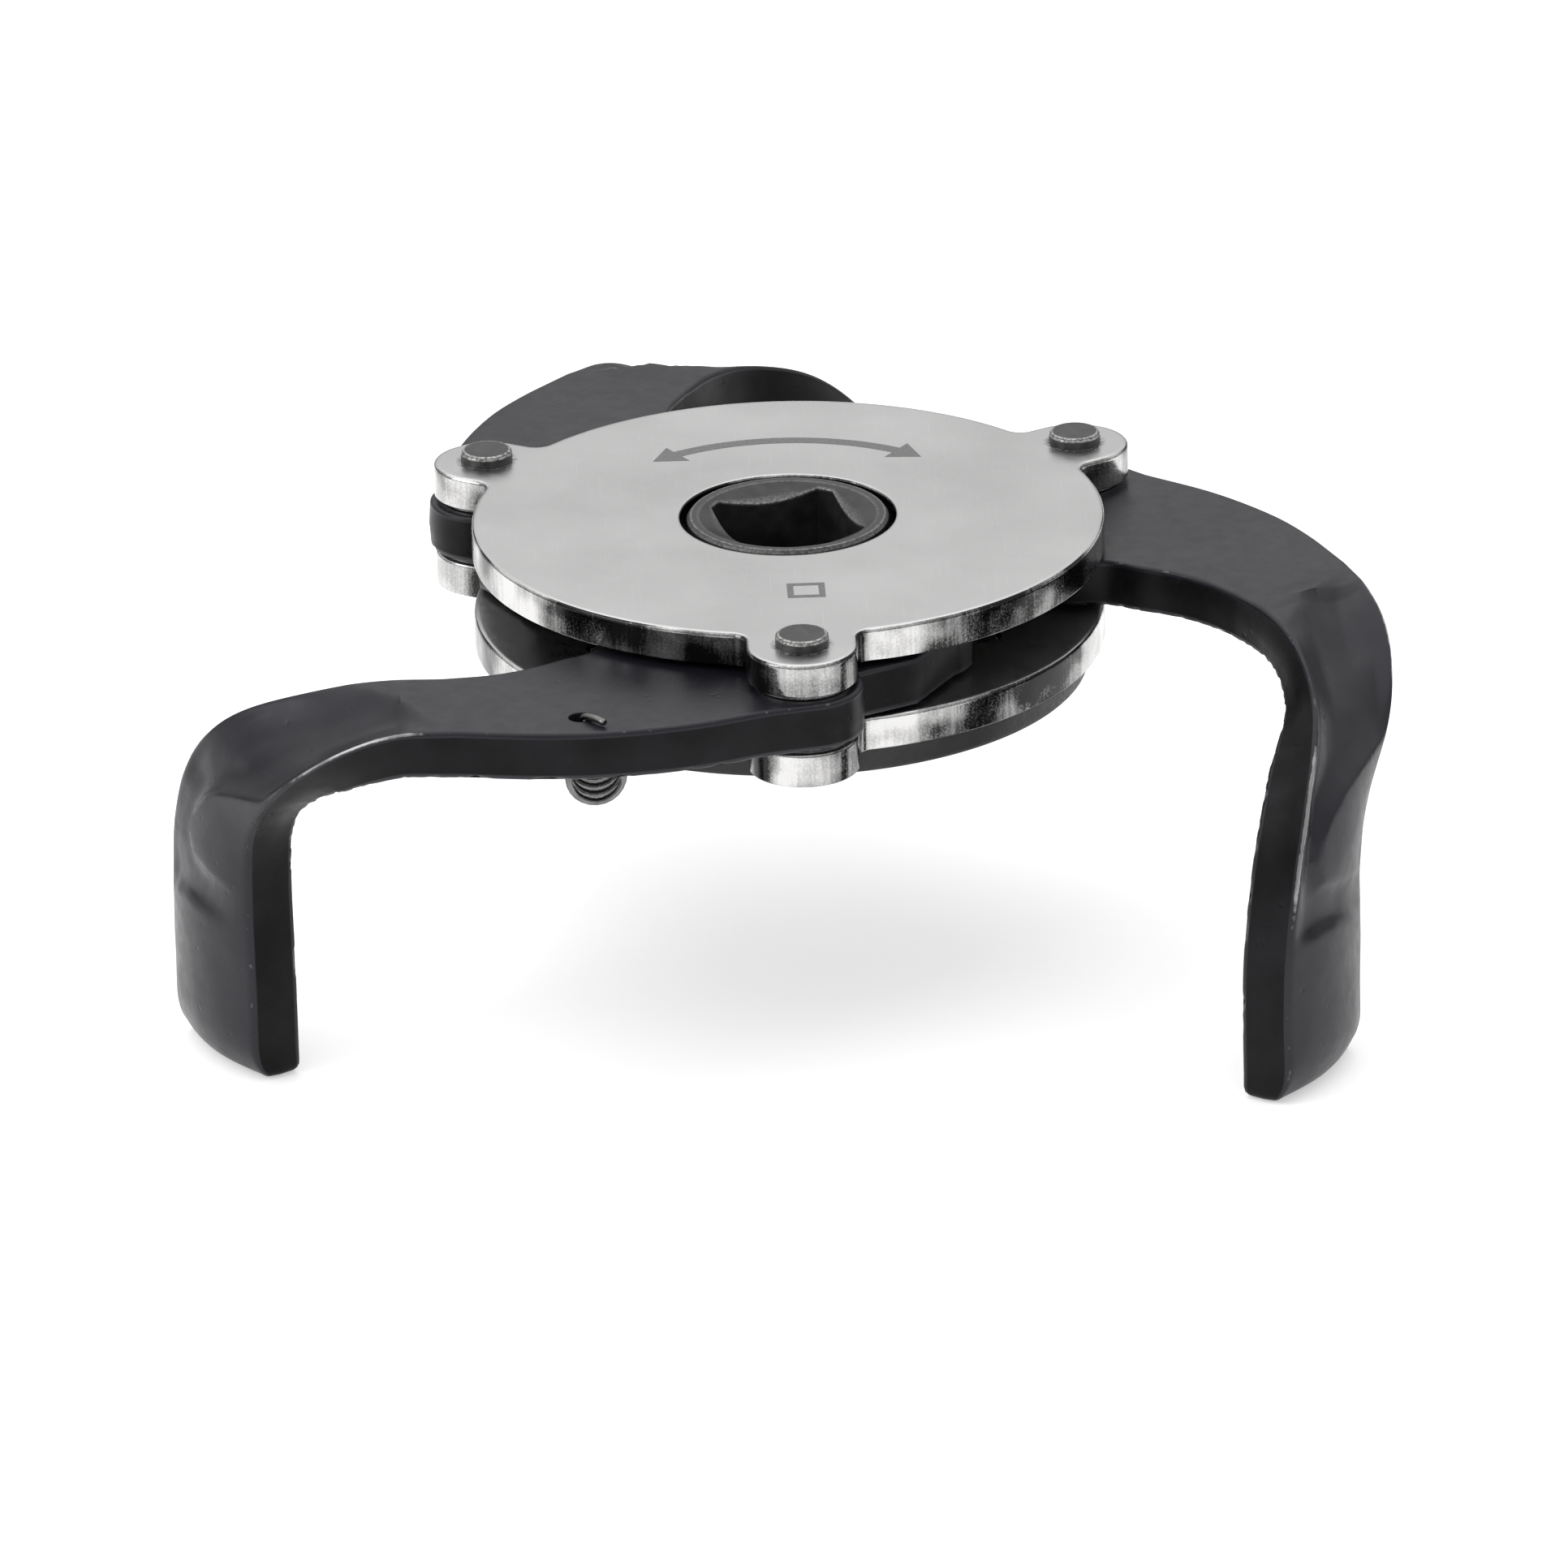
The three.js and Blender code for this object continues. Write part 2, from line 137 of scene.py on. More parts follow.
DISC_LOW, DISC_HIGH = (corner.z for corner in box_mm("base_disc"))
LOWER_LOW, LOWER_HIGH = (corner.z for corner in box_mm("bottom_plate"))
UPPER_LOW, UPPER_HIGH = (corner.z for corner in box_mm("top_plate"))
HUB_LOW, HUB_HIGH = (corner.z for corner in box_mm("drive_hub"))
FOOT, ARM_HIGH = (corner.z for corner in box_mm("arm_1"))
ARM_LOW = ARM_HIGH - STRAP_THICKNESS
PIVOTS = []
for number in (1, 2, 3):
    low, high = box_mm(f"pivot_rivet_{number}")
    PIVOTS.append((low + high) / 2)
PIVOT_CIRCLE = PIVOTS[0].xy.length
THIRD = 2 * pi / 3
print(f"plates {LOWER_LOW:.1f}-{LOWER_HIGH:.1f} and {UPPER_LOW:.1f}-{UPPER_HIGH:.1f}")
print(f"jaws down to {FOOT:.1f}")

# %% [markdown]
# ## Outlines
# Plates and straps are flat stock cut to an outline. An outline here is a list of points
# that runs anticlockwise, or clockwise round a hole, so the steel is always on its left.
# Easing an edge is then the same step everywhere: move the outline to its left.

# %% Arcs, smooth curves and shifted outlines
JUST_SHORT = 1e-7
SHARPEST_CORNER = 0.4


def polar(radius, angle):
    return Vector((radius * cos(angle), radius * sin(angle)))


def arc(centre, radius, start, stop, count):
    angles = [start + (stop - start) * i / count for i in range(count + 1)]
    return [Vector(centre).xy + polar(radius, angle) for angle in angles]


def hole(centre, radius, count=64):
    return arc(centre, radius, 2 * pi, 0, count)[:-1]


def along(marks, share):
    """A point part of the way along a smooth curve through the marks."""
    spans = len(marks) - 1
    place = min(max(share * spans, 0), spans - JUST_SHORT)
    i = int(place)
    t = place - i
    p1, p2 = marks[i], marks[i + 1]
    p0 = marks[i - 1] if i else 2 * p1 - p2
    p3 = marks[i + 2] if i + 2 < len(marks) else 2 * p2 - p1
    d0, d1, d2 = ((b - a).length ** 0.5 for a, b in ((p0, p1), (p1, p2), (p2, p3)))
    m1 = ((p1 - p0) / d0 - (p2 - p0) / (d0 + d1) + (p2 - p1) / d1) * d1
    m2 = ((p2 - p1) / d1 - (p3 - p1) / (d1 + d2) + (p3 - p2) / d2) * d1
    rest = 1 - t
    start = (1 + 2 * t) * rest**2 * p1 + t * rest**2 * m1
    return start + t**2 * (3 - 2 * t) * p2 - t**2 * rest * m2


def lefts(points, closed=True):
    """For each point, the step to its left that moves both its edges by one unit."""
    steps = []
    for i, point in enumerate(points):
        before = points[i - 1] if i or closed else point
        after = points[(i + 1) % len(points)] if closed or i + 1 < len(points) else point
        into = (point - before).normalized() if point != before else (after - point).normalized()
        out = (after - point).normalized() if point != after else into
        side = Vector((-into.y - out.y, into.x + out.x)).normalized()
        steps.append(side / max(SHARPEST_CORNER, side.dot(Vector((-into.y, into.x)))))
    return steps


print("an arc of four steps:", [tuple(round(v, 1) for v in p) for p in arc((0, 0), 10, 0, pi, 4)])

# %% [markdown]
# ## Edges, walls and flats
# No edge of a pressed or turned piece is perfectly sharp. A wall is built ring by ring:
# each ring has a height and an inset, and the insets draw the eased edge. One more ring a
# little way onto the flat keeps the flat's shading flat. The flats are then filled.

# %% Ring levels
EDGE_STEPS = 3
PAST_EASE = 1.35


def edge_levels(low, high, lower=0.15, upper=0.15, land=0.2, draft=0.0, wall_steps=2):
    """(height, inset) pairs up a wall with both edges eased, and a land on each flat."""
    levels = [(low, lower + draft + land)]
    for k in range(EDGE_STEPS + 1):
        t = k / EDGE_STEPS
        levels.append((low + lower * t * t, lower * (1 - t) ** 2 + draft))
    for k in range(wall_steps + 1):
        share = k / wall_steps
        wall_low, wall_high = low + lower * PAST_EASE, high - upper * PAST_EASE
        levels.append((wall_low + (wall_high - wall_low) * share, draft * abs(2 * share - 1)))
    for k in range(EDGE_STEPS + 1):
        t = k / EDGE_STEPS
        levels.append((high - upper * (1 - t) ** 2, upper * t * t + draft))
    levels.append((high, upper + draft + land))
    return levels


print("rings on a 3 mm wall:", len(edge_levels(0, 3)))


# %% Walls and flats
def bridge(mesh, ring_a, ring_b, closed=True):
    """Quads between two rings of vertices."""
    count = len(ring_a)
    for i in range(count if closed else count - 1):
        j = (i + 1) % count
        mesh.faces.new((ring_a[i], ring_a[j], ring_b[j], ring_b[i]))


def wall(mesh, points, levels):
    """A closed wall along an outline. Returns its lowest and highest ring."""
    steps = lefts(points)
    rings = []
    for height, inset in levels:
        spots = [point + step * inset for point, step in zip(points, steps)]
        rings.append([mesh.verts.new((spot.x, spot.y, height)) for spot in spots])
    for ring_a, ring_b in zip(rings, rings[1:]):
        bridge(mesh, ring_a, ring_b)
    return rings[0], rings[-1]


def fill_flat(mesh, *rings):
    """Fills the flat that lies between closed rings."""
    edges = []
    for ring in rings:
        for i, vertex in enumerate(ring):
            edge = mesh.edges.get((ring[i - 1], vertex))
            edges.append(edge or mesh.edges.new((ring[i - 1], vertex)))
    bmesh.ops.triangle_fill(mesh, use_beauty=True, edges=edges, normal=(0, 0, 1))


def slab(outlines):
    """A solid from (points, levels) pairs: the outer outline first, then each hole."""
    mesh = bmesh.new()
    ends = [wall(mesh, points, levels) for points, levels in outlines]
    fill_flat(mesh, *(lowest for lowest, highest in ends))
    fill_flat(mesh, *(highest for lowest, highest in ends))
    return mesh


mesh = slab([(hole((0, 0), 5)[::-1], edge_levels(0, 3))])
print("faces of a round test slab:", len(mesh.faces))
mesh.free()

# %% [markdown]
# ## Turned pieces
# Rivets, sleeves and washers come off a lathe or a header. Their half-section is spun
# round the axis. A corner of the section carries its own easing, and the vertices on the
# eased corner get a wear value, which the finishes use to let bare metal shine through.

# %% Turned sections
CORNER_LAND = 1.7
ON_AXIS = 1e-6


def eased(corners):
    """(radius, height, easing) corners as (point, wear) pairs, each corner rounded."""
    points = []
    for i, (radius, height, easing) in enumerate(corners):
        here = Vector((radius, height))
        if not easing:
            points.append((here, 0.0))
            continue
        before = (Vector(corners[i - 1][:2]) - here).normalized()
        after = (Vector(corners[(i + 1) % len(corners)][:2]) - here).normalized()
        points.append((here + before * easing * CORNER_LAND, 0.0))
        for k in range(EDGE_STEPS + 2):
            t = k / (EDGE_STEPS + 1)
            spot = here + before * easing * (1 - t) ** 2 + after * easing * t * t
            points.append((spot, 1.0))
        points.append((here + after * easing * CORNER_LAND, 0.0))
    return points


def spun(corners, centre=(0, 0), sides=72, tube=False):
    """Spins a half-section. A tube's section closes on itself, clear of the axis."""
    mesh = bmesh.new()
    worn = mesh.verts.layers.float.new("wear")
    rings = []
    for point, wear in eased(corners):
        count = sides if point.x > ON_AXIS else 1
        ring = []
        for i in range(count):
            spot = Vector(centre).xy + polar(point.x, 2 * pi * i / sides)
            ring.append(mesh.verts.new((spot.x, spot.y, point.y)))
            ring[-1][worn] = wear
        rings.append(ring)
    pairs = list(zip(rings, rings[1:])) + ([(rings[-1], rings[0])] if tube else [])
    for ring_a, ring_b in pairs:
        if len(ring_a) == len(ring_b):
            bridge(mesh, ring_a, ring_b)
            continue
        tip, ring = (ring_a[0], ring_b) if len(ring_a) == 1 else (ring_b[0], ring_a)
        for i, vertex in enumerate(ring):
            mesh.faces.new((tip, ring[i - 1], vertex))
    return mesh


print("points round one eased corner:", len(eased([(0, 0, 0), (5, 0, 0.3), (5, 2, 0)])) - 2)

# %% [markdown]
# ## From mesh to piece
# Every piece goes through one helper. It sets which way the faces look, shades the mesh
# smoothly with sharp creases where the steel really turns, gives it one finish for its
# flats and, if wanted, another for its cut edges, and ties it to the body it moves with.
# A piece given a blend is tied to no body: it is left fixed where it is.

# %% Making a piece
WALL_SLOPE = 0.75


def piece(name, mesh, body, finishes, stands_for=(), crease=35, spin=0.0, blend=None):
    bmesh.ops.recalc_face_normals(mesh, faces=mesh.faces)
    for face in mesh.faces:
        face.smooth = True
        face.material_index = int(len(finishes) > 1 and abs(face.normal.z) < WALL_SLOPE)
    data = bpy.data.meshes.new(name)
    mesh.to_mesh(data)
    mesh.free()
    data.transform(Matrix.Scale(MM, 4) @ Matrix.Rotation(spin, 4, "Z"))
    data.set_sharp_from_angle(angle=radians(crease))
    for finish in finishes:
        data.materials.append(finish)
    made = bpy.data.objects.new(name, data)
    bpy.context.scene.collection.objects.link(made)
    if stands_for:
        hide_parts(*stands_for)
    if blend:
        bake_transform(made)
    else:
        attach(made, body)
    print(f"{name}: {len(data.polygons)} faces, rides {body}")
    return made


# %% [markdown]
# ## Finishes
# A finish is a small network of nodes. Each one starts from the place on the piece, in
# metres, so the pattern stays on the steel when the arms swing. The helpers have plain
# names: grain is a soft blotchy pattern of a given size, spread maps it between two
# values, tint between two colours, and relief turns it into a surface that catches light.

# %% Node helpers
def node(tree, kind, values=(), **settings):
    made = tree.nodes.new(kind)
    for key, value in settings.items():
        setattr(made, key, value)
    for key, value in dict(values).items():
        if isinstance(value, bpy.types.NodeSocket):
            tree.links.new(value, made.inputs[key])
        else:
            made.inputs[key].default_value = value
    return made


def new_finish(name, metallic, specular=0.5):
    material = bpy.data.materials.new(name)
    material.use_nodes = True
    shader = material.node_tree.nodes["Principled BSDF"]
    shader.inputs["Metallic"].default_value = metallic
    shader.inputs["Specular IOR Level"].default_value = specular
    return material, material.node_tree, shader


def dress(tree, shader, **parts):
    for name, socket in parts.items():
        tree.links.new(socket, shader.inputs[name.replace("_", " ")])


print("materials before the first finish:", len(bpy.data.materials))

# %% Patterns
def place(tree, stretch=(1, 1, 1), tilt=0.0):
    spot = node(tree, "ShaderNodeTexCoord").outputs["Object"]
    values = {"Vector": spot, "Scale": stretch, "Rotation": (0, 0, tilt)}
    return node(tree, "ShaderNodeMapping", values).outputs[0]


def grain(tree, size_mm, detail=3.0, where=None):
    values = {"Scale": 1 / (size_mm * MM), "Detail": detail, "Vector": where or place(tree)}
    return node(tree, "ShaderNodeTexNoise", values).outputs["Fac"]


def spread(tree, pattern, low, high, start=0.35, stop=0.65):
    values = {"Value": pattern, "From Min": start, "From Max": stop, "To Min": low, "To Max": high}
    return node(tree, "ShaderNodeMapRange", values).outputs[0]


print("a grain of 2 mm has a noise scale of", round(1 / (2 * MM)))

# %% Colours, sums and relief
def grey(value, warmth=0.0):
    return (value * (1 + warmth), value, value * (1 - warmth), 1)


def tint(tree, share, first, second):
    mix = node(tree, "ShaderNodeMix", data_type="RGBA")
    for socket, value in ((0, share), (6, first), (7, second)):
        if isinstance(value, bpy.types.NodeSocket):
            tree.links.new(value, mix.inputs[socket])
        else:
            mix.inputs[socket].default_value = value
    return mix.outputs[2]


def sums(tree, operation, first, second):
    made = node(tree, "ShaderNodeMath", {0: first, 1: second}, operation=operation)
    return made.outputs[0]


def relief(tree, pattern, depth_mm, below=None):
    values = {"Height": pattern, "Distance": depth_mm * MM, "Strength": 1.0}
    if below:
        values["Normal"] = below
    return node(tree, "ShaderNodeBump", values).outputs[0]


print("a slightly warm grey:", [round(part, 3) for part in grey(0.5, 0.01)])

# %% [markdown]
# ## Satin nickel on the plate faces
# The plates are pressed steel with a thin satin nickel plating. The plating copies the
# rolled sheet below it: it is softly mottled, with a faint peel and a few hair scratches
# from handling. Close round each rivet, where the head was pressed down, there is a dark
# and ragged ring. A metallic surface whose roughness varies a little does most of the
# work, and the ring comes from the distance to the nearest rivet.

# %% Nickel faces
SCRATCH_WIDTH, SCRATCH_LENGTH = 0.09, 9.0
SCRATCH_TILTS = (0.5, 2.1)
SCRATCH_SHOWS = 0.25
NICKEL_DIM, NICKEL_CLEAR = grey(0.50, 0.004), grey(0.565, 0.003)
RING_FROM, RING_TO = 2.7, 3.25
RING_SHOWS = 0.75


def scratches(tree, tilt):
    stretched = place(tree, (1, SCRATCH_WIDTH / SCRATCH_LENGTH, 1), tilt)
    lines = grain(tree, SCRATCH_WIDTH, 1.0, stretched)
    return spread(tree, lines, 0, 1, start=0.71, stop=0.76)


def near_pivots(tree):
    """How far, in mm, the surface is from the nearest rivet's axis."""
    spot = node(tree, "ShaderNodeTexCoord").outputs["Object"]
    flattened = {0: spot, 1: (1, 1, 0)}
    flat_spot = node(tree, "ShaderNodeVectorMath", flattened, operation="MULTIPLY").outputs[0]
    nearest = None
    for pivot in PIVOTS:
        values = {0: flat_spot, 1: (pivot.x * MM, pivot.y * MM, 0)}
        gap = node(tree, "ShaderNodeVectorMath", values, operation="DISTANCE").outputs["Value"]
        nearest = gap if nearest is None else sums(tree, "MINIMUM", nearest, gap)
    return sums(tree, "DIVIDE", nearest, MM)


nickel_face, tree, shader = new_finish("satin_nickel", metallic=1.0)
mottle = grain(tree, size_mm=16.0)
fine_mottle = grain(tree, size_mm=1.4)
hair = sums(tree, "MAXIMUM", *[scratches(tree, tilt) for tilt in SCRATCH_TILTS])
colour = tint(tree, spread(tree, mottle, 0, 1, 0.3, 0.7), NICKEL_DIM, NICKEL_CLEAR)
colour = tint(tree, sums(tree, "MULTIPLY", hair, SCRATCH_SHOWS), colour, grey(0.8))
ring = spread(tree, near_pivots(tree), 1, 0, RING_FROM, RING_TO)
ragged = sums(tree, "MULTIPLY", ring, spread(tree, grain(tree, size_mm=0.45), 0.1, 1, 0.4, 0.6))
colour = tint(tree, sums(tree, "MULTIPLY", ragged, RING_SHOWS), colour, grey(0.1))
rough = sums(tree, "ADD", spread(tree, mottle, 0.28, 0.33), spread(tree, fine_mottle, -0.02, 0.03))
bump = relief(tree, fine_mottle, depth_mm=0.0035)
bump = relief(tree, grain(tree, size_mm=0.25, detail=2.0), depth_mm=0.0008, below=bump)
bump = relief(tree, ragged, depth_mm=0.05, below=bump)
dress(tree, shader, Base_Color=colour, Roughness=rough, Normal=bump)
print("finish:", nickel_face.name)

# %% [markdown]
# ## Sheared nickel edges
# A blanking die leaves an edge that is burnished in some places and torn in others, with
# fine upright streaks. Bright plating on it mirrors the room unevenly, so some stretches
# look bright and others almost black, and here those dark reflections are painted into the
# colour as painted reflection. One grain gives the long stretches of painted dark reflection,
# a second breaks them into patches, a third is stretched upwards into streaks, and the finest
# one is the sparkle of torn steel.

# %% Nickel rims
# the dark rim colour is a painted dark reflection of the room, not the plating's own colour
RIM_BRIGHT, RIM_PAINTED_DARK_REFLECTION = grey(0.62, 0.006), grey(0.028, 0.01)

nickel_rim, tree, shader = new_finish("sheared_nickel_painted_reflection", metallic=1.0)
stretches = grain(tree, size_mm=9.0, detail=1.0, where=place(tree, (1, 1, 0.12)))
patches = grain(tree, size_mm=4.5, detail=1.0, where=place(tree, (1, 1, 1.3)))
streaks = grain(tree, size_mm=0.35, detail=2.0, where=place(tree, (1, 1, 0.06)))
sparkle = grain(tree, size_mm=0.22, detail=2.0)
# the long stretches and their patches are painted dark reflection; the fine sparkle is torn steel
painted_dark_reflection = spread(tree, stretches, 0.05, 0.9, start=0.42, stop=0.55)
reflection_and_torn_dark = sums(tree, "ADD", painted_dark_reflection, spread(tree, patches, -0.25, 0.3))
reflection_and_torn_dark = sums(tree, "ADD", reflection_and_torn_dark, spread(tree, streaks, -0.07, 0.09))
reflection_and_torn_dark = sums(tree, "ADD", reflection_and_torn_dark, spread(tree, sparkle, 0.05, -0.13, start=0.45, stop=0.65))
bump = relief(tree, patches, depth_mm=0.12)
bump = relief(tree, streaks, depth_mm=0.005, below=bump)
bump = relief(tree, sparkle, depth_mm=0.008, below=bump)
dress(
    tree,
    shader,
    Base_Color=tint(tree, reflection_and_torn_dark, RIM_BRIGHT, RIM_PAINTED_DARK_REFLECTION),
    Roughness=spread(tree, sparkle, 0.12, 0.24),
    Normal=bump,
)
print("finish:", nickel_rim.name)

# %% [markdown]
# ## Blackened steel
# The hub and the rivets are turned steel with a black oxide finish. It is thin, so the
# rings that the lathe left still show, and it rubs through to bare steel on the edges.
# The wear value of the mesh, broken up with grain, says where.

# %% Black oxide
BARE_STEEL = grey(0.45, 0.01)
BARE_POLISH = 0.08
LATHE_RINGS = {"Scale": 900.0, "Distortion": 1.5, "Detail": 2.0, "Detail Scale": 30.0}


def worn_edges(tree):
    """The wear value of the mesh."""
    return node(tree, "ShaderNodeAttribute", attribute_name="wear").outputs["Fac"]


def blacked(name, size_mm, colours, roughness):
    material, tree, shader = new_finish(name, metallic=0.55)
    cloud = grain(tree, size_mm, detail=4.0)
    speck = grain(tree, size_mm=0.3)
    rubbed = sums(tree, "MULTIPLY", worn_edges(tree), spread(tree, speck, 0.15, 1, 0.35, 0.62))
    colour = tint(tree, spread(tree, cloud, 0, 1), *colours)
    polish = sums(tree, "MULTIPLY", rubbed, BARE_POLISH)
    rough = sums(tree, "SUBTRACT", spread(tree, cloud, *roughness), polish)
    dress(tree, shader, Base_Color=tint(tree, rubbed, colour, BARE_STEEL), Roughness=rough)
    return material, tree, shader, relief(tree, speck, depth_mm=0.003)


colours = grey(0.028), grey(0.05)
hub_black, tree, shader, bump = blacked("black_oxide_hub", 2.2, colours, (0.30, 0.42))
values = {"Vector": place(tree), **LATHE_RINGS}
turned = node(tree, "ShaderNodeTexWave", values, wave_type="RINGS", rings_direction="Z")
dress(tree, shader, Normal=relief(tree, turned.outputs["Fac"], depth_mm=0.004, below=bump))

colours = grey(0.030), grey(0.07)
rivet_black, tree, shader, bump = blacked("black_oxide_rivet", 1.3, colours, (0.28, 0.44))
dress(tree, shader, Normal=relief(tree, grain(tree, size_mm=0.9), depth_mm=0.03, below=bump))
print("finishes:", hub_black.name, rivet_black.name)

# %% [markdown]
# ## Black phosphate on the arms
# The arms are thick steel, bent hot and then phosphated black. The coat is dull and
# slightly grainy with small pits, and it reflects only a broad soft glow: grey where light
# grazes it, near black where it does not. The sheared sides are rougher steel and duller
# than the faces, and their colour is also made darker than the faces' as painted shade.
# The upper edges of the bend are rubbed bright, and on the lips of the saddle that rubbed
# bare steel is also a painted highlight line. Two values of the mesh, one for the sheared
# walls and one for wear, say where those places are.

# %% Phosphate coat
COAT_DARK, COAT_PALE = (0.0065, 0.0062, 0.0095, 1), (0.011, 0.0105, 0.0145, 1)
# the sheared-wall colour is darker as painted shade; the rubbed colour is bare steel that also paints
# highlight lines
SHEARED_SHADE_COLOUR, RUBBED_AND_HIGHLIGHT_COLOUR = grey(0.003), grey(0.34)
FACE_SHINE, SHEARED_SHINE = 0.37, 0.12
COOL_GLOW = (0.96, 0.95, 1.0, 1)
PIT_SCALE = 900.0

arm_black, tree, shader = new_finish("black_phosphate", metallic=0.0, specular=0.32)
cloud = grain(tree, size_mm=9.0, detail=5.0)
coat = grain(tree, size_mm=0.16, detail=2.0)
peel = grain(tree, size_mm=1.6, detail=4.0)
values = {"Vector": place(tree), "Scale": PIT_SCALE, "Randomness": 1.0}
pits = node(tree, "ShaderNodeTexVoronoi", values).outputs["Distance"]
pitted_here = spread(tree, grain(tree, size_mm=2.4, detail=2.0), 0, 1, 0.56, 0.66)
pit = sums(tree, "MULTIPLY", spread(tree, pits, 1, 0, 0.1, 0.32), pitted_here)

uneven = spread(tree, grain(tree, size_mm=0.9, detail=4.0), -0.25, 0.25, 0.3, 0.7)
# rubbed edges are bare steel; on the saddle lips this is also a painted highlight line
rubbed = spread(tree, sums(tree, "ADD", worn_edges(tree), uneven), 0, 0.8, 0.5, 0.9)
# the sheared walls get a darker colour and less shine: rougher steel, with the darker colour also painted
# shade
sheared_and_shaded = node(tree, "ShaderNodeAttribute", attribute_name="sheared_and_shaded").outputs["Fac"]
sheared_and_shaded = sums(tree, "MULTIPLY", sheared_and_shaded, spread(tree, cloud, 0.75, 1.0))
colour = tint(tree, spread(tree, cloud, 0, 1), COAT_DARK, COAT_PALE)
colour = tint(tree, sheared_and_shaded, colour, SHEARED_SHADE_COLOUR)
colour = tint(tree, rubbed, colour, RUBBED_AND_HIGHLIGHT_COLOUR)
shine = spread(tree, sheared_and_shaded, FACE_SHINE, SHEARED_SHINE, 0, 1)
rough = sums(tree, "ADD", spread(tree, cloud, 0.33, 0.40), spread(tree, peel, -0.03, 0.04))
rough = sums(tree, "SUBTRACT", rough, sums(tree, "MULTIPLY", rubbed, 0.12))
bump = relief(tree, peel, depth_mm=0.022)
bump = relief(tree, coat, depth_mm=0.004, below=bump)
bump = relief(tree, pit, depth_mm=-0.03, below=bump)
dress(tree, shader, Base_Color=colour, Roughness=rough, Metallic=rubbed, Normal=bump)
dress(tree, shader, Specular_IOR_Level=shine)
shader.inputs["Specular Tint"].default_value = COOL_GLOW
print("finish:", arm_black.name)

# %% [markdown]
# ## Base disc, spring wire and plain steel
# The base disc is a black moulded pad with a fine leather grain. The spring is drawn wire,
# darkened, with fine marks along it. Sleeves and washers are plain bright steel, dulled a
# little by oil. The two steels differ only in numbers, so one function makes both.

# %% Pad, wire and plain steel
DULLED = 0.7

base_black, tree, shader = new_finish("black_pad", metallic=0.0, specular=0.35)
cloud = grain(tree, size_mm=6.0, detail=4.0)
leather = grain(tree, size_mm=0.5)
colour = tint(tree, spread(tree, cloud, 0, 1), grey(0.012), grey(0.022))
dress(
    tree,
    shader,
    Base_Color=colour,
    Roughness=spread(tree, leather, 0.38, 0.52),
    Normal=relief(tree, leather, depth_mm=0.02),
)


def bright_steel(name, size_mm, light, roughness):
    material, tree, shader = new_finish(name, metallic=1.0)
    cloud = grain(tree, size_mm, detail=4.0)
    drawn = grain(tree, size_mm=0.2, detail=2.0, where=place(tree, (1, 0.1, 1)))
    colour = tint(tree, spread(tree, cloud, 0, 1), grey(light * DULLED, 0.01), grey(light, 0.01))
    bump = relief(tree, drawn, depth_mm=0.004)
    dress(tree, shader, Base_Color=colour, Roughness=spread(tree, drawn, *roughness), Normal=bump)
    return material


wire_steel = bright_steel("drawn_wire", size_mm=1.5, light=0.2, roughness=(0.16, 0.28))
plain_steel = bright_steel("plain_steel", size_mm=1.0, light=0.66, roughness=(0.22, 0.38))
print("finishes:", base_black.name, wire_steel.name, plain_steel.name)

# %% [markdown]
# ## The two plates
# Both plates are blanked with the same tool: a round rim with three ears over the pivots,
# each ear running into the rim through two small fillets. The die rolls the upper edge
# over a little and leaves the lower edge crisp, and the punch does not cut perfectly
# straight, so the wall waves by a few hundredths of a millimetre.

# %% Plate outline
PLATE_RADIUS = 32.0
EAR_RADIUS = 5.5
EAR_FILLET = 1.8
RIM_WAVE = 0.035
SLOW_WAVE, FAST_WAVE = 0.5, 1.7
FILLET_STEPS, EAR_STEPS, RIM_STEPS = 10, 30, 90


def plate_outline():
    reach = PLATE_RADIUS + EAR_FILLET
    swing = asin((EAR_RADIUS + EAR_FILLET) / reach)
    points = []
    for i in range(3):
        axis = i * THIRD - pi / 2
        before, after = polar(reach, axis - swing), polar(reach, axis + swing)
        ear = polar(PIVOT_CIRCLE, axis)
        points += arc(before, EAR_FILLET, axis - swing + pi, axis + pi / 2, FILLET_STEPS)
        points += arc(ear, EAR_RADIUS, axis - pi / 2, axis + pi / 2, EAR_STEPS)[1:]
        points += arc(after, EAR_FILLET, axis - pi / 2, axis + swing - pi, FILLET_STEPS)[1:]
        points += arc((0, 0), PLATE_RADIUS, axis + swing, axis + THIRD - swing, RIM_STEPS)[1:-1]
    return points


def waved(points, depth, seed):
    """Lets the wall wander inwards by up to the depth, as a punch leaves it."""
    moved = []
    for point, step in zip(points, lefts(points)):
        wander = noise.noise(Vector((point.x * SLOW_WAVE, point.y * SLOW_WAVE, seed)))
        wander += 0.5 * noise.noise(Vector((point.x * FAST_WAVE, point.y * FAST_WAVE, seed)))
        moved.append(point + step * depth * (0.75 + 0.5 * wander))
    return moved


print("plate outline points:", len(plate_outline()))

# %% Plates
HUB_HOLE = 10.9
RIVET_HOLE = 2.3
DISC_RIVET_CIRCLE = 22.0
DISC_RIVET_HOLE = 1.8
ANCHOR = Vector((-19.6, -21.4))
ANCHOR_HOLE = 1.2
disc_rivet_spots = [polar(DISC_RIVET_CIRCLE, i * THIRD - pi / 6) for i in range(3)]


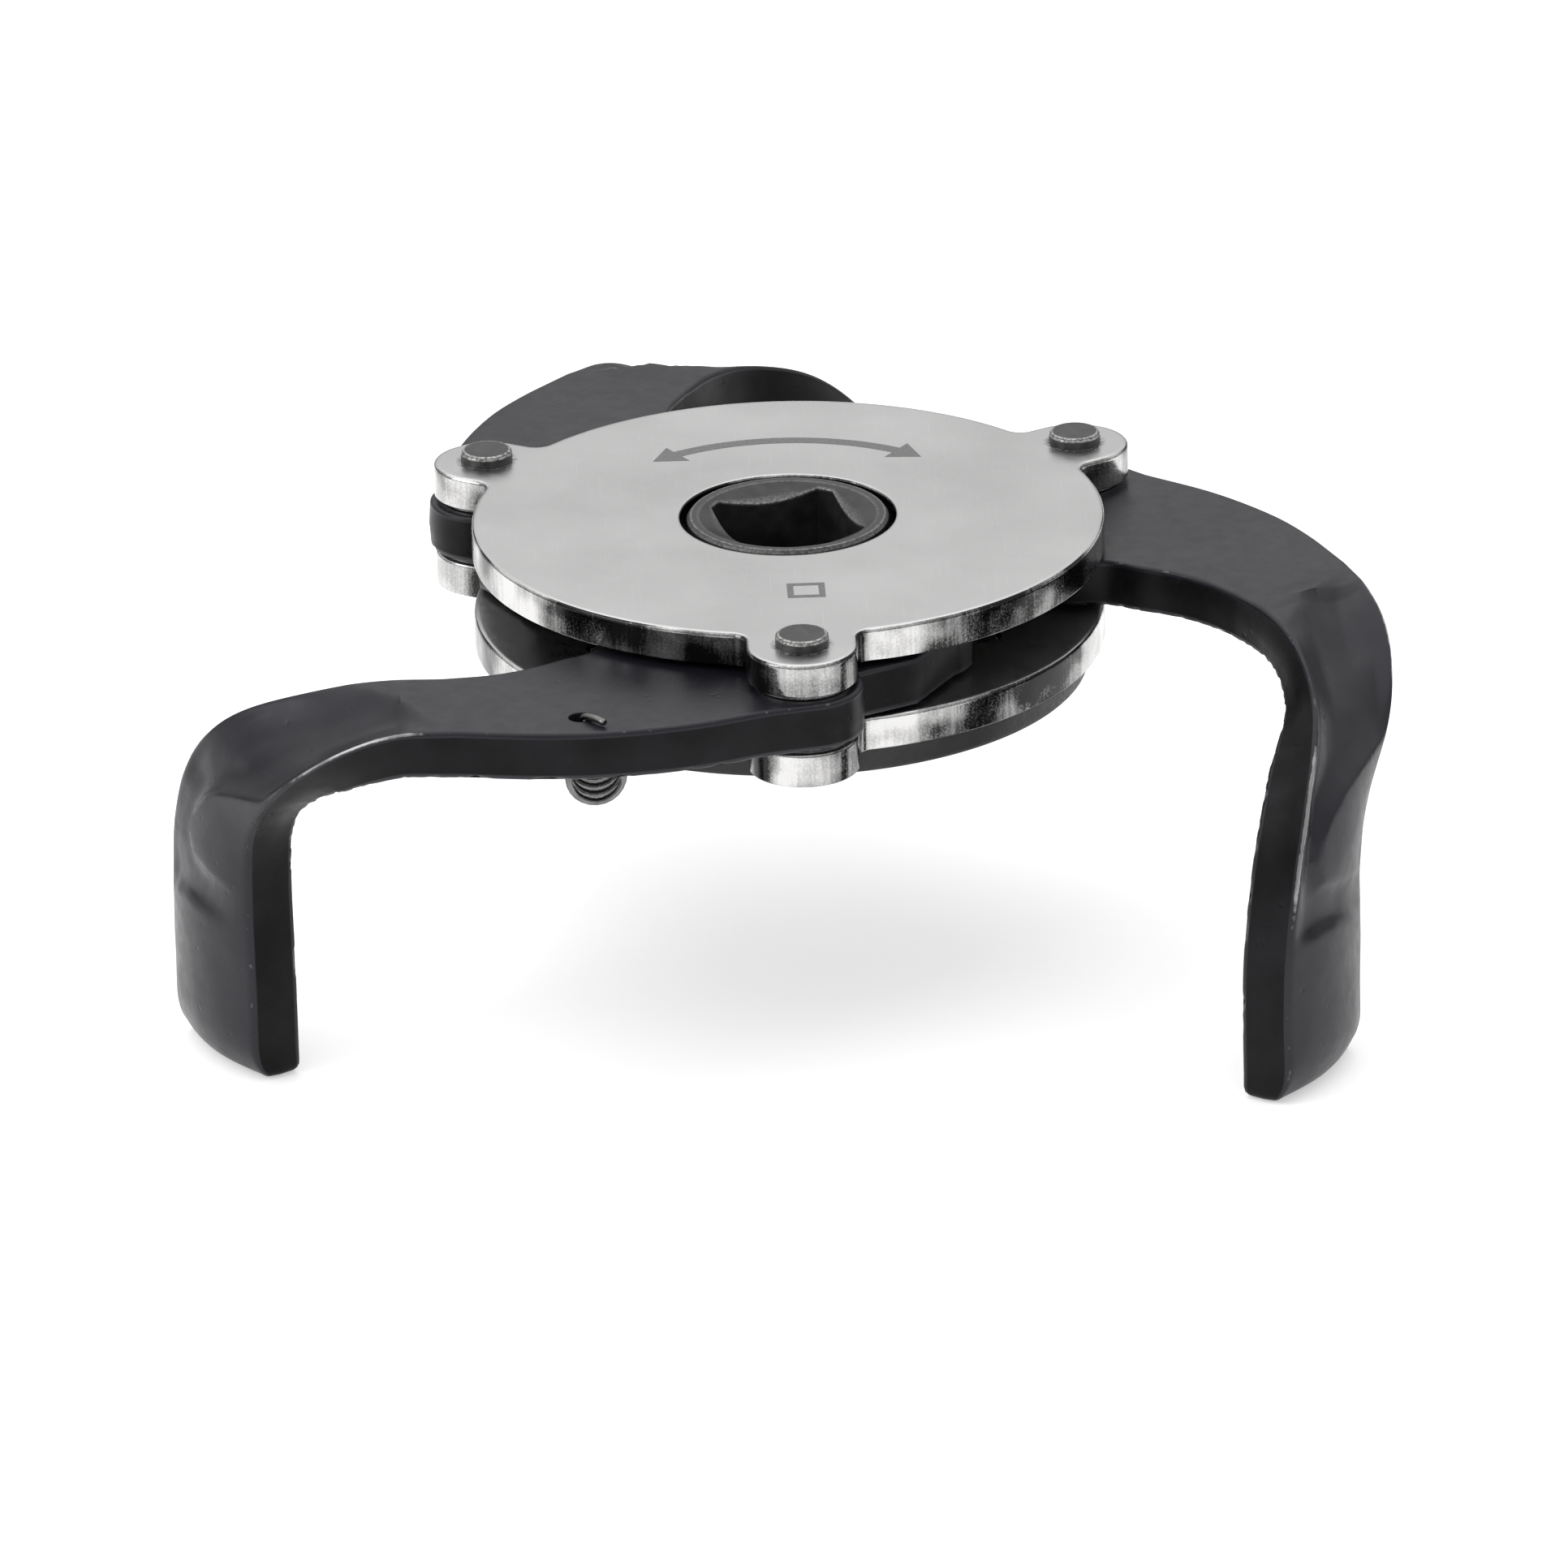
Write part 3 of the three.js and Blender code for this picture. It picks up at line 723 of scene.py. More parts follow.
def plate(name, low, high, seed, more_holes=()):
    rim_levels = edge_levels(low, high, lower=0.12, upper=0.42, wall_steps=6)
    hub_levels = edge_levels(low, high, lower=0.1, upper=0.3, land=0.15)
    rivet_levels = edge_levels(low, high, lower=0.1, upper=0.1, land=0.1)
    small_levels = edge_levels(low, high, lower=0.1, upper=0.15, land=0.1)
    outlines = [(waved(plate_outline(), RIM_WAVE, seed), rim_levels)]
    outlines.append((hole((0, 0), HUB_HOLE, 160), hub_levels))
    outlines += [(hole(pivot, RIVET_HOLE), rivet_levels) for pivot in PIVOTS]
    outlines += [(hole(spot, radius), small_levels) for spot, radius in more_holes]
    return piece(name, slab(outlines), "frame", [nickel_face, nickel_rim], [name])


plate("top_plate", UPPER_LOW, UPPER_HIGH, 1.0)
small_holes = [(ANCHOR, ANCHOR_HOLE)] + [(spot, DISC_RIVET_HOLE) for spot in disc_rivet_spots]
plate("bottom_plate", LOWER_LOW, LOWER_HIGH, 7.0, small_holes)

# %% [markdown]
# ## Marks on the top plate
# The top plate carries two light etched marks: a long arrow with two heads, which says
# that the wrench turns both ways, and a small open square for the square drive. Etching
# leaves a dull grey skin, so each mark is a very thin skin of its own with a dull finish.

# %% Etched marks
etched, tree, shader = new_finish("etched_grey", 0.6)
frost = grain(tree, 0.25, 3.0)
dress(
    tree,
    shader,
    Base_Color=tint(tree, spread(tree, frost, 0, 1), grey(0.13), grey(0.22)),
    Roughness=spread(tree, frost, 0.45, 0.6),
    Normal=relief(tree, frost, 0.006),
)
MARK_HEIGHT, MARK_SINK = 0.015, 0.05
mark_levels = [(UPPER_HIGH - MARK_SINK, 0), (UPPER_HIGH + MARK_HEIGHT, 0)]
ARROW_RADIUS = 20.5
ARROW_HALF = 0.75
HEAD_HALF = 2.2
HEAD_LENGTH = radians(9)
ARROW_MIDDLE, ARROW_SPAN = radians(88), radians(33)
ARROW_STEPS = 40
SQUARE_AT = (1.0, -20.5)
SQUARE_OUTSIDE, SQUARE_INSIDE = 1.9, 1.25


def arrow_outline():
    """A curved arrow with a head at each end, round the back of the plate."""
    start, stop = ARROW_MIDDLE - ARROW_SPAN, ARROW_MIDDLE + ARROW_SPAN
    outer_side = arc((0, 0), ARROW_RADIUS + ARROW_HALF, start, stop, ARROW_STEPS)
    inner_side = arc((0, 0), ARROW_RADIUS - ARROW_HALF, stop, start, ARROW_STEPS)
    far_head = [polar(ARROW_RADIUS + HEAD_HALF, stop), polar(ARROW_RADIUS, stop + HEAD_LENGTH),
                polar(ARROW_RADIUS - HEAD_HALF, stop)]
    near_head = [polar(ARROW_RADIUS - HEAD_HALF, start), polar(ARROW_RADIUS, start - HEAD_LENGTH),
                 polar(ARROW_RADIUS + HEAD_HALF, start)]
    return outer_side + far_head + inner_side + near_head


def square_points(centre, half, order=1):
    corners = [(-half, -half), (half, -half), (half, half), (-half, half)][::order]
    return [Vector(centre) + Vector(corner) for corner in corners]


piece("arrow_mark", slab([(arrow_outline(), mark_levels)]), "frame", [etched])
square_lines = [square_points(SQUARE_AT, SQUARE_OUTSIDE), square_points(SQUARE_AT, SQUARE_INSIDE, -1)]
mesh = slab([(points, mark_levels) for points in square_lines])
piece("square_mark", mesh, "frame", [etched])

# %% [markdown]
# ## The base disc
# A black disc is fixed under the lower plate and rests on the end of the filter. Its lower
# edge is chamfered, three sunk rivets hold it, and a slot leaves room for the spring's
# inner hook. Each rivet hole is stepped, so its wall drops in two diameters.

# %% Base disc
DISC_RADIUS = 30.3
DISC_CHAMFER = 0.5
DISC_STEPS = 220
SLOT_WIDTH = 2.6
SINK_RADIUS = 3.1
SINK_DEPTH = 1.7
SINK_EASE = 0.12


def rim_angle(across):
    """Where the front of the disc's rim is, this far across."""
    return atan2(-sqrt(DISC_RADIUS**2 - across**2), across)


slot_left, slot_right = ANCHOR.x - SLOT_WIDTH / 2, ANCHOR.x + SLOT_WIDTH / 2
rim_points = arc((0, 0), DISC_RADIUS, rim_angle(slot_right), rim_angle(slot_left) + 2 * pi, DISC_STEPS)
slot_round = arc(ANCHOR, SLOT_WIDTH / 2, pi, 0, 14)
disc_levels = edge_levels(DISC_LOW, DISC_HIGH, lower=DISC_CHAMFER)
narrow = DISC_RIVET_HOLE - SINK_RADIUS
sink_levels = [
    (DISC_LOW, SINK_EASE),
    (DISC_LOW + SINK_EASE, 0),
    (DISC_LOW + SINK_DEPTH, 0),
    (DISC_LOW + SINK_DEPTH, narrow),
    (DISC_HIGH, narrow),
]
sinks = [(hole(spot, SINK_RADIUS), sink_levels) for spot in disc_rivet_spots]
mesh = slab([(rim_points + slot_round, disc_levels)] + sinks)
piece("base_disc", mesh, "frame", [base_black], ["base_disc"])

# %% [markdown]
# ## Gear teeth
# The pinion and the toothed end of each arm use the same involute tooth. One flank is
# worked out from the base circle, mirrored, and repeated round the wheel.

# %% One involute tooth
GEAR_MODULE = 1.45
PRESSURE_ANGLE = radians(20)
ADDENDUM = 0.95
DEDENDUM = 1.3
BACKLASH = 0.3
PINION_TEETH = 18
SECTOR_TEETH = 30
FLANK_STEPS = 4


def involute(angle):
    return tan(angle) - angle


def tooth(teeth, centre):
    """Points of one tooth, root to root, anticlockwise."""
    pitch = GEAR_MODULE * teeth / 2
    base = pitch * cos(PRESSURE_ANGLE)
    root = pitch - DEDENDUM * GEAR_MODULE
    tip = pitch + ADDENDUM * GEAR_MODULE
    half = pi / (2 * teeth) - BACKLASH / (4 * pitch) + involute(PRESSURE_ANGLE)
    start = max(base, root)
    flank = [(root, half - involute(acos(min(1, base / start))))]
    for k in range(FLANK_STEPS + 1):
        radius = start + (tip - start) * k / FLANK_STEPS
        flank.append((radius, half - involute(acos(min(1, base / radius)))))
    rising = [polar(radius, centre - angle) for radius, angle in flank]
    falling = [polar(radius, centre + angle) for radius, angle in reversed(flank)]
    return rising + falling


print("points in a tooth:", len(tooth(PINION_TEETH, 0)))

# %% [markdown]
# ## The drive hub
# The hub is turned, then broached with the half-inch square. A narrow ring on top stands
# a tenth of a millimetre above the plate, and inside it a shallow cone drops until it meets
# the square, so the square's corners reach higher up the cone than its sides. The hole was
# bored before it was broached, so its four corners are cut off round. A polar mesh follows
# all of this: at every angle it knows how far out the square's wall is, and the cone ends
# there.

# %% Square hole by angle
HUB_RADIUS = 10.24
HUB_RING = 1.15
HUB_CHAMFER = 0.35
CONE_DEPTH = 1.25
DRIVE_SQUARE = 12.9
SQUARE_TURN = radians(15.75)
SQUARE_CORNER_RADIUS = 8.3
CORNER_TURN = pi / 4 - acos(DRIVE_SQUARE / 2 / SQUARE_CORNER_RADIUS)


def square_wall(angle):
    """How far from the axis the wall of the square hole is, at this angle."""
    quarter = (angle - SQUARE_TURN + pi / 4) % (pi / 2) - pi / 4
    return min(DRIVE_SQUARE / 2 / cos(quarter), SQUARE_CORNER_RADIUS)


corner_wall = square_wall(SQUARE_TURN + pi / 4)
print("square wall, side and corner:", square_wall(SQUARE_TURN), round(corner_wall, 2))

# %% Hub mesh
CORNER_STEPS, SIDE_STEPS = 4, 40
HUB_LAND = 0.2
HUB_SOFT = 0.1
CHAMFER_WEAR, CONE_WEAR, SQUARE_WEAR = 0.4, 0.15, 0.5


def hub_angles():
    """Angles round the hub, with two of them exactly at the ends of every cut corner."""
    spots = []
    side = pi / 2 - 2 * CORNER_TURN
    for corner in range(4):
        middle = SQUARE_TURN + pi / 4 + corner * pi / 2
        spots += [middle + CORNER_TURN * (i / CORNER_STEPS - 1) for i in range(2 * CORNER_STEPS)]
        spots += [middle + CORNER_TURN + side * i / SIDE_STEPS for i in range(SIDE_STEPS)]
    return spots


def hub_section(angle):
    """(radius, height, wear) from the foot of the hub, over its top and down the square."""
    low, top = HUB_LOW, HUB_HIGH
    under = top - HUB_CHAMFER
    rim, ring_in, wall_at = HUB_RADIUS - HUB_CHAMFER, HUB_RADIUS - HUB_RING, square_wall(angle)
    slope = CONE_DEPTH / (ring_in - DRIVE_SQUARE / 2)
    run = ring_in - wall_at
    cone_end = top - run * slope
    side = [(HUB_RADIUS, low + HUB_LAND, 0), (HUB_RADIUS, under - 0.3, 0), (HUB_RADIUS, under - 0.08, 0)]
    chamfer = [(HUB_RADIUS - 0.06, under + 0.03, 0.3), (rim + 0.07, top - 0.07, 0.1)]
    chamfer += [(rim, top - 0.015, CHAMFER_WEAR), (rim - HUB_SOFT, top, CHAMFER_WEAR)]
    ring = [(rim - HUB_LAND, top, 0), (ring_in + HUB_LAND, top, 0)]
    cone = [(ring_in + HUB_SOFT, top - 0.005, CONE_WEAR), (ring_in - HUB_SOFT, top - 0.05, CONE_WEAR)]
    for down in (HUB_LAND, run * 0.6):
        cone.append((ring_in - down, top - down * slope, 0))
    cone.append((wall_at + HUB_SOFT, cone_end + HUB_SOFT * slope, 0.3))
    square = [(wall_at + 0.03, cone_end - 0.01, SQUARE_WEAR), (wall_at, cone_end - HUB_SOFT, 0.3)]
    square += [(wall_at, cone_end - 0.3, 0), (wall_at, low + 0.3, 0)]
    foot = [(wall_at + HUB_LAND, low, 0), (HUB_RADIUS - HUB_LAND, low, 0)]
    return side + chamfer + ring + cone + square + foot


mesh = bmesh.new()
worn = mesh.verts.layers.float.new("wear")
columns = []
for angle in hub_angles():
    column = []
    for radius, height, wear in hub_section(angle):
        spot = polar(radius, angle)
        column.append(mesh.verts.new((spot.x, spot.y, height)))
        column[-1][worn] = wear
    columns.append(column)
for column, after in zip(columns, columns[1:] + columns[:1]):
    bridge(mesh, column, after)
piece("drive_hub", mesh, "hub", [hub_black], ["drive_hub"], crease=38)

# %% Pinion
BORE_CLEARANCE = 0.3

first_tooth = pi / PINION_TEETH - pi / 2
pinion_points = []
for i in range(PINION_TEETH):
    pinion_points += tooth(PINION_TEETH, first_tooth + 2 * pi * i / PINION_TEETH)
pinion_levels = edge_levels(ARM_LOW, ARM_HIGH, lower=0.1, upper=0.1, land=0.08)
bore_points = hole((0, 0), HUB_RADIUS - BORE_CLEARANCE, 96)
mesh = slab([(pinion_points, pinion_levels), (bore_points, [(ARM_LOW, 0), (ARM_HIGH, 0)])])
piece("pinion", mesh, "hub", [hub_black], ["drive_hub"])

# %% [markdown]
# ## The arms
# Each arm is one thick strap. Its flat end has the pivot bore and a toothed sector, and
# the rest is bent down through a deep saddle into a jaw with a crowned outer face. The
# arm is built as one closed skin. Two rails are the jaw's outer and inner edge, and a
# section is carried along them. The flat end is a slab whose open side is the first
# section, with the same vertices, so no seam can show.

# %% Rails of arm 1, measured from its pivot
pivot_1 = Vector((PIVOTS[0].x, PIVOTS[0].y, 0))
outer_rail = [
    (-34.4, -9.9, 12), (-40.2, -8.8, 11.5), (-45, -7.6, 9.6), (-49.18, -5.58, 6.5), (-52.5, -2.8, 2.6),
    (-54.9, 1.5, -3.4), (-55.3, 2.85, -9), (-55.3, 2.85, -19), (-55.3, 2.85, FOOT),
]
inner_rail = [
    (-35.2, 4.4, 12), (-41.5, 4.6, 11.9), (-48, 5.6, 10.8), (-54.7, 8, 8.2), (-58.5, 10.5, 5),
    (-61, 13, 0.8), (-62.68, 15.5, -6.2), (-63.17, 17, -16), (-63.17, 17, FOOT),
]
outer_rail = [Vector(mark) + pivot_1 for mark in outer_rail]
inner_rail = [Vector(mark) + pivot_1 for mark in inner_rail]
print("rail ends, mm apart:", round((outer_rail[-1] - inner_rail[-1]).length, 1))

# %% [markdown]
# ### What the bend did to the jaw
# Where thick steel is folded down, its outer face does not stay smooth. The strap first
# bulges a little, then falls into a dish with raised lips, and the dish ends at a ridge
# round a shield-shaped swell on the jaw. A second ridge crosses the jaw lower down. A
# ridge is a line on the face, given by how far across the jaw and at what height it runs.
# On its left the face is scooped: steep at the line, then slowly back to nothing.

# %% Creases
CREASES = [
    # (share across, height, depth, reach) along each line, with the scoop on the left of the line
    [
        (-0.1, 2.0, 1.0, 3.2), (0.1, 1.4, 1.25, 3.4), (0.4, 0.6, 1.35, 3.4), (0.6, -0.1, 1.25, 3.0),
        (0.75, -1.5, 1.1, 2.2), (0.83, -3.5, 0.85, 1.4), (0.84, -6.0, 0.65, 1.1), (0.74, -8.2, 0.5, 1.2),
        (0.5, -9.0, 0.42, 1.4), (0.25, -9.6, 0.2, 1.4), (0.0, -10.1, 0.0, 1.4),
    ],
    [
        (-0.05, -14.9, 0.0, 1.4), (0.12, -14.3, 0.0, 1.4), (0.3, -13.8, 0.35, 1.6), (0.55, -13.3, 0.6, 1.8),
        (0.75, -13.3, 0.65, 1.8), (0.95, -13.7, 0.55, 1.6), (1.05, -14.0, 0.45, 1.6),
    ],
]
SWELL_WIDTH = (0.74, 1.0, 0.88)
print("marks on each ridge:", [len(marks) for marks in CREASES])

# %% Saddle and bulge
SADDLE_DEPTH = 1.7
SADDLE_REACH = 1.0
SADDLE_START, SADDLE_SLANT = 0.1, 1.4
SADDLE_SIDES = (-0.05, 0.42), (0.6, 1.05)
BULGE_HEIGHT = 0.85
BULGE_SPANS = (0, 1.0), (1.2, 2.4)


def ramp(value, start, stop):
    """Climbs smoothly from 0 to 1 between start and stop."""
    t = min(max((value - start) / (stop - start), 0), 1)
    return t * t * (3 - 2 * t)


def hump(value, rise, fall):
    """Climbs from 0 to 1 over the rise, and goes back to 0 over the fall."""
    return ramp(value, *rise) * (1 - ramp(value, *fall))


def saddle_depth(part, spans):
    """The dish less the bulge before it, at this part of the width, so many spans down."""
    run = (spans - SADDLE_START - SADDLE_SLANT * part) / SADDLE_REACH
    dish = SADDLE_DEPTH * run * exp(1 - run) if run > 0 else 0.0
    bulge = BULGE_HEIGHT * 4 * part * (1 - part) * hump(spans, *BULGE_SPANS)
    return dish * hump(part, *SADDLE_SIDES) - bulge


print("saddle, middle of the strap, mm:", [round(saddle_depth(0.5, spans), 2) for spans in range(5)])

# %% Scoops along the ridges
def crease_depth(share, height, width, swell):
    """How deep the face is scooped at this share across and height, for a swell this wide."""
    total = 0.0
    here = Vector((share * width, height))
    for marks, stretch in zip(CREASES, (swell, 1.0)):
        nearest = None
        for (share_a, high_a, *cut_a), (share_b, high_b, *cut_b) in zip(marks, marks[1:]):
            a = Vector((share_a * stretch * width, high_a))
            b = Vector((share_b * stretch * width, high_b))
            step = b - a
            t = min(max((here - a).dot(step) / step.length_squared, 0), 1)
            gap = here - (a + step * t)
            if nearest is None or gap.length < nearest[0]:
                side = step.x * gap.y - step.y * gap.x
                depth, reach = Vector(cut_a).lerp(Vector(cut_b), t)
                nearest = (gap.length, side, depth, reach)
        gap, side, depth, reach = nearest
        if side > 0:
            total += depth * (gap / reach) * exp(1 - gap / reach)
    return total


print("scoop 3 mm above the first ridge, mm:", round(crease_depth(0.4, 3.5, 16, 1), 2))

# %% Rounded ends, burrs and rubbed edges
END_DEPTH, END_REACH = 3.3, 7.0
EDGE_DEPTH, EDGE_REACH = 2.2, 2.8
BACK_ROUND = 1.2
SIDE_ROUND = 1.0
BURR_DEPTH = 0.5
UPPER_RUB, LOWER_RUB = 0.35, 0.3
# stretches of the upper edges where rubbed bare steel also paints a highlight line
OUTER_LIP_HIGHLIGHT = (0.03, 0.11), (0.37, 0.46)
INNER_LIP_HIGHLIGHT = (0.47, 0.55), (0.75, 0.84)


def end_inset(depth, reach, above):
    """How far an oval rounding cuts in, at this height above the end."""
    return depth * (1 - sqrt(1 - (1 - above / reach) ** 2)) if above < reach else 0.0


def end_rounding(above, middling):
    """How far the jaw's back and its face are cut in, more in the middle of the face."""
    rounder = sqrt(max(middling, 0))
    depth = EDGE_DEPTH + (END_DEPTH - EDGE_DEPTH) * rounder
    reach = EDGE_REACH + (END_REACH - EDGE_REACH) * rounder
    return end_inset(BACK_ROUND, BACK_ROUND, above), end_inset(depth, reach, above)


def burr(run, seed):
    """How far the torn lower edge stands back at this place along it."""
    ragged = noise.noise(Vector((run * 0.9, round(seed) * 9.0, 0.5)))
    ragged += 0.8 * noise.noise(Vector((run * 2.3, round(seed) * 9.0, 4.5)))
    return BURR_DEPTH * max(0, ragged)


def edge_wear_and_highlight(share, on_outer, on_upper):
    """How far an edge is rubbed, most on the lips of the saddle, where the rubbed bare steel also paints a
    highlight line.
    """
    if not on_upper:
        return LOWER_RUB
    lip = hump(share, *(OUTER_LIP_HIGHLIGHT if on_outer else INNER_LIP_HIGHLIGHT))
    return UPPER_RUB + (1 - UPPER_RUB) * lip


print("rounding at the very end, mm:", [round(cut, 2) for cut in end_rounding(0, 1)])

# %% Section before it is shaped
ARM_EASE = 0.45
LAND = 0.3
ARM_DRAFT = 0.12
FACE_POINTS = 26
WALL_STEPS = 4


def arm_levels(low, high):
    return edge_levels(low, high, ARM_EASE, ARM_EASE, LAND, ARM_DRAFT, WALL_STEPS)


LEVEL_COUNT = len(arm_levels(0, STRAP_THICKNESS))


def on_wall(i):
    """Whether the level with this number lies on the sheared wall, between its eased edges."""
    return EDGE_STEPS + 1 < i < LEVEL_COUNT - EDGE_STEPS - 2


def flat_section(width, thick):
    """The section as a plain flat bar: (run across, height, wear, sheared) all the way round."""
    levels = arm_levels(0, thick)
    on_edge = [0.0] + [1.0] * (EDGE_STEPS - 1) + [0.0]
    worn = [0.0] + on_edge + [0.0] * (WALL_STEPS + 1) + on_edge + [0.0]
    cut = [float(on_wall(i)) for i in range(LEVEL_COUNT)]
    edge = levels[0][1]
    face = [edge + (width - 2 * edge) * i / (FACE_POINTS + 1) for i in range(1, FACE_POINTS + 1)]
    side = [(inset, height, wear, sheared_and_shaded) for (height, inset), wear, sheared_and_shaded in zip(levels, worn, cut)]
    loop = list(side)
    loop += [(spot, thick, 0.0, 0.0) for spot in face]
    loop += [(width - inset, *rest) for inset, *rest in reversed(side)]
    return loop + [(width - spot, 0.0, 0.0, 0.0) for spot in face]


print("levels on a side:", LEVEL_COUNT, "points in a section:", len(flat_section(15, STRAP_THICKNESS)))

# %% Rails to sections
JAW_THICKNESS = 5.2
JAW_CROWN = 2.1
JAW_GROWS = (0.3, 0.75)
NUDGE = 1e-3
FLAT_UNTIL = 0.06
BURR_STARTS = 0.02
CREASES_START = 0.1
CREASE_SIDES = (0, 0.14), (0.86, 1)
UNEVEN_DEPTH, UNEVEN_STARTS = 0.08, 0.15
BURRS_PER_SPAN = 6
RAIL_SPANS = len(outer_rail) - 1


def rail_frame(share):
    """A place on the outer rail, the way across to the inner one, and the way into the steel."""
    outer, inner = along(outer_rail, share), along(inner_rail, share)
    ahead, behind = min(share + NUDGE, 1), max(share - NUDGE, 0)
    travel = along(outer_rail, ahead) - along(outer_rail, behind)
    travel += along(inner_rail, ahead) - along(inner_rail, behind)
    across = inner - outer
    down = Vector((0, 0, -1))
    depth = travel.cross(across).normalized() if share > 0 else down
    return outer, across, depth.lerp(down, 1 - ramp(share, 0, FLAT_UNTIL)).normalized()


def face_scoop(share, part, level_here, width, swell):
    """How far the outer face lies below a plain crowned one: saddle, ridges, unevenness."""
    scoop = saddle_depth(part, share * RAIL_SPANS)
    if share > CREASES_START:
        scoop += hump(part, *CREASE_SIDES) * crease_depth(part, level_here, width, swell)
    uneven = noise.noise(Vector((part * 4, level_here * 0.25, 3.0)))
    return scoop + UNEVEN_DEPTH * ramp(share, 0, UNEVEN_STARTS) * (uneven + 0.5)


print("unevenness and scoop in mid strap, mm:", round(face_scoop(0.4, 0.5, 5.0, 16, 1), 2))

# %% Arm section
def arm_section(share, swell):
    """The closed section at one share of the rails, as (point, wear, sheared) lines."""
    outer, across, depth = rail_frame(share)
    width = across.length
    jaw = ramp(share, *JAW_GROWS)
    thick = STRAP_THICKNESS + (JAW_THICKNESS - STRAP_THICKNESS) * jaw
    lines = []
    for spot, height, wear, sheared_and_shaded in flat_section(width, thick):
        part = spot / width
        on_outer, on_upper = part < 0.5, height > thick / 2
        middling = 4 * part * (1 - part)
        level_here = outer.z + across.z * part
        above = level_here - FOOT
        end_in, end_out = end_rounding(above, middling)
        rise = end_in + height * (thick - end_out - end_in) / thick
        if on_upper:
            rise += jaw * JAW_CROWN * middling
            fade = ramp(height, thick / 2, thick)
            rise -= fade * face_scoop(share, part, level_here, width, swell)
        spot += (1 - 2 * part) * end_inset(SIDE_ROUND, SIDE_ROUND, above)
        if wear and not on_upper:
            torn = burr(share * RAIL_SPANS * BURRS_PER_SPAN, part) * ramp(share, 0, BURR_STARTS)
            spot += torn if on_outer else -torn
        point = outer + across * (spot / width) + depth * (thick - rise)
        lines.append((point, wear and edge_wear_and_highlight(share, on_outer, on_upper), sheared_and_shaded))
    return lines


print("outer corner of the last section, mm:", [round(v, 1) for v in arm_section(1, 1)[0][0]])

# %% [markdown]
# ### The flat end of an arm
# The flat end is drawn as a path that starts at the outer rail, goes round the pivot and
# over the teeth, and comes back along the shoulder to the inner rail.

# %% Path round the flat end
PIVOT_END = 6.1
PIVOT_END_FROM, PIVOT_END_TO = -1.3, 0.35
SECTOR_CORNER = (11.5, 5.2)
FIRST_TOOTH, LAST_TOOTH = -4, 3
STRAP_EASE, CORNER_EASE, TOOTH_EASE = 1.0, 0.5, 0.3
OUTER_STEPS, SHOULDER_STEPS = 40, 50
outer_marks = [(-34.4, -9.9), (-32, -10.3), (-26.5, -11.1), (-20.3, -11.3), (-11.4, -9.9), (-3, -6.9)]
shoulder_marks = [
    (-15.6, 16.2), (-18.8, 12.9), (-20.8, 10), (-23.9, 8.2), (-26.8, 6.4), (-30.5, 5), (-35.2, 4.4),
]


def flat_end_path():
    """(point, easing share) pairs in arm 1's place. Teeth get a finer edge than the strap."""
    outer = [Vector(mark) for mark in outer_marks]
    shoulder = [Vector(mark) for mark in shoulder_marks]
    pivot_end = arc((0, 0), PIVOT_END, PIVOT_END_FROM, PIVOT_END_TO, 16)
    path = [(along(outer, i / OUTER_STEPS), STRAP_EASE) for i in range(OUTER_STEPS + 1)]
    path += [(spot, STRAP_EASE) for spot in pivot_end]
    path.append((Vector(SECTOR_CORNER), CORNER_EASE))
    for number in range(FIRST_TOOTH, LAST_TOOTH + 1):
        centre = pi / 2 + 2 * pi * number / SECTOR_TEETH
        path += [(spot, TOOTH_EASE) for spot in tooth(SECTOR_TEETH, centre)]
    path.append((shoulder[0], CORNER_EASE))
    path += [(along(shoulder, i / SHOULDER_STEPS), STRAP_EASE) for i in range(1, SHOULDER_STEPS + 1)]
    return [(spot + pivot_1.xy, ease) for spot, ease in path]


print("points round the flat end:", len(flat_end_path()))

# %% Side of the flat end
def flat_end_column(spot, ease, step):
    """(point, wear, sheared) lines up the side of the flat end, at one point of its path."""
    torn = burr(spot.x * 0.9 + spot.y * 0.5, 1) if ease == STRAP_EASE else 0
    lines = []
    for i, (height, inset) in enumerate(arm_levels(ARM_LOW, ARM_HIGH)):
        on_lower = 1 < i <= EDGE_STEPS
        on_upper = LEVEL_COUNT - EDGE_STEPS - 2 < i < LEVEL_COUNT - 2
        if i <= EDGE_STEPS + 1:
            height = ARM_LOW + (height - ARM_LOW) * ease
        elif not on_wall(i):
            height = ARM_HIGH - (ARM_HIGH - height) * ease
        moved = spot + step * (inset * ease + (torn if on_lower else 0))
        wear = UPPER_RUB * ease if on_lower or on_upper else 0.0
        lines.append(((moved.x, moved.y, height), wear, float(on_wall(i))))
    return lines


print("levels up the flat end:", len(flat_end_column(Vector((0, 0)), 1.0, Vector((1, 0)))))

# %% Stations along the rails
SPAN_STEPS = [9, 10, 11, 12, 14, 12, 16]
LOWER_STEPS = 12
END_STEPS = 12


def arm_stations():
    """Shares along the rails, closer together where the jaw's end is rounded."""
    shares = []
    for i, count in enumerate(SPAN_STEPS):
        shares += [(i + k / count) / RAIL_SPANS for k in range(count)]
    last = (RAIL_SPANS - 1) / RAIL_SPANS
    rounded = 1 - END_REACH / (outer_rail[-2].z - FOOT) / RAIL_SPANS
    shares += [last + (rounded - last) * k / LOWER_STEPS for k in range(LOWER_STEPS)]
    turns = [sin(pi / 2 * k / END_STEPS) for k in range(END_STEPS + 1)]
    return shares + [rounded + (1 - rounded) * turn for turn in turns]


print("sections down one arm:", len(arm_stations()))

# %% Arm mesh
END_LAND = 0.93


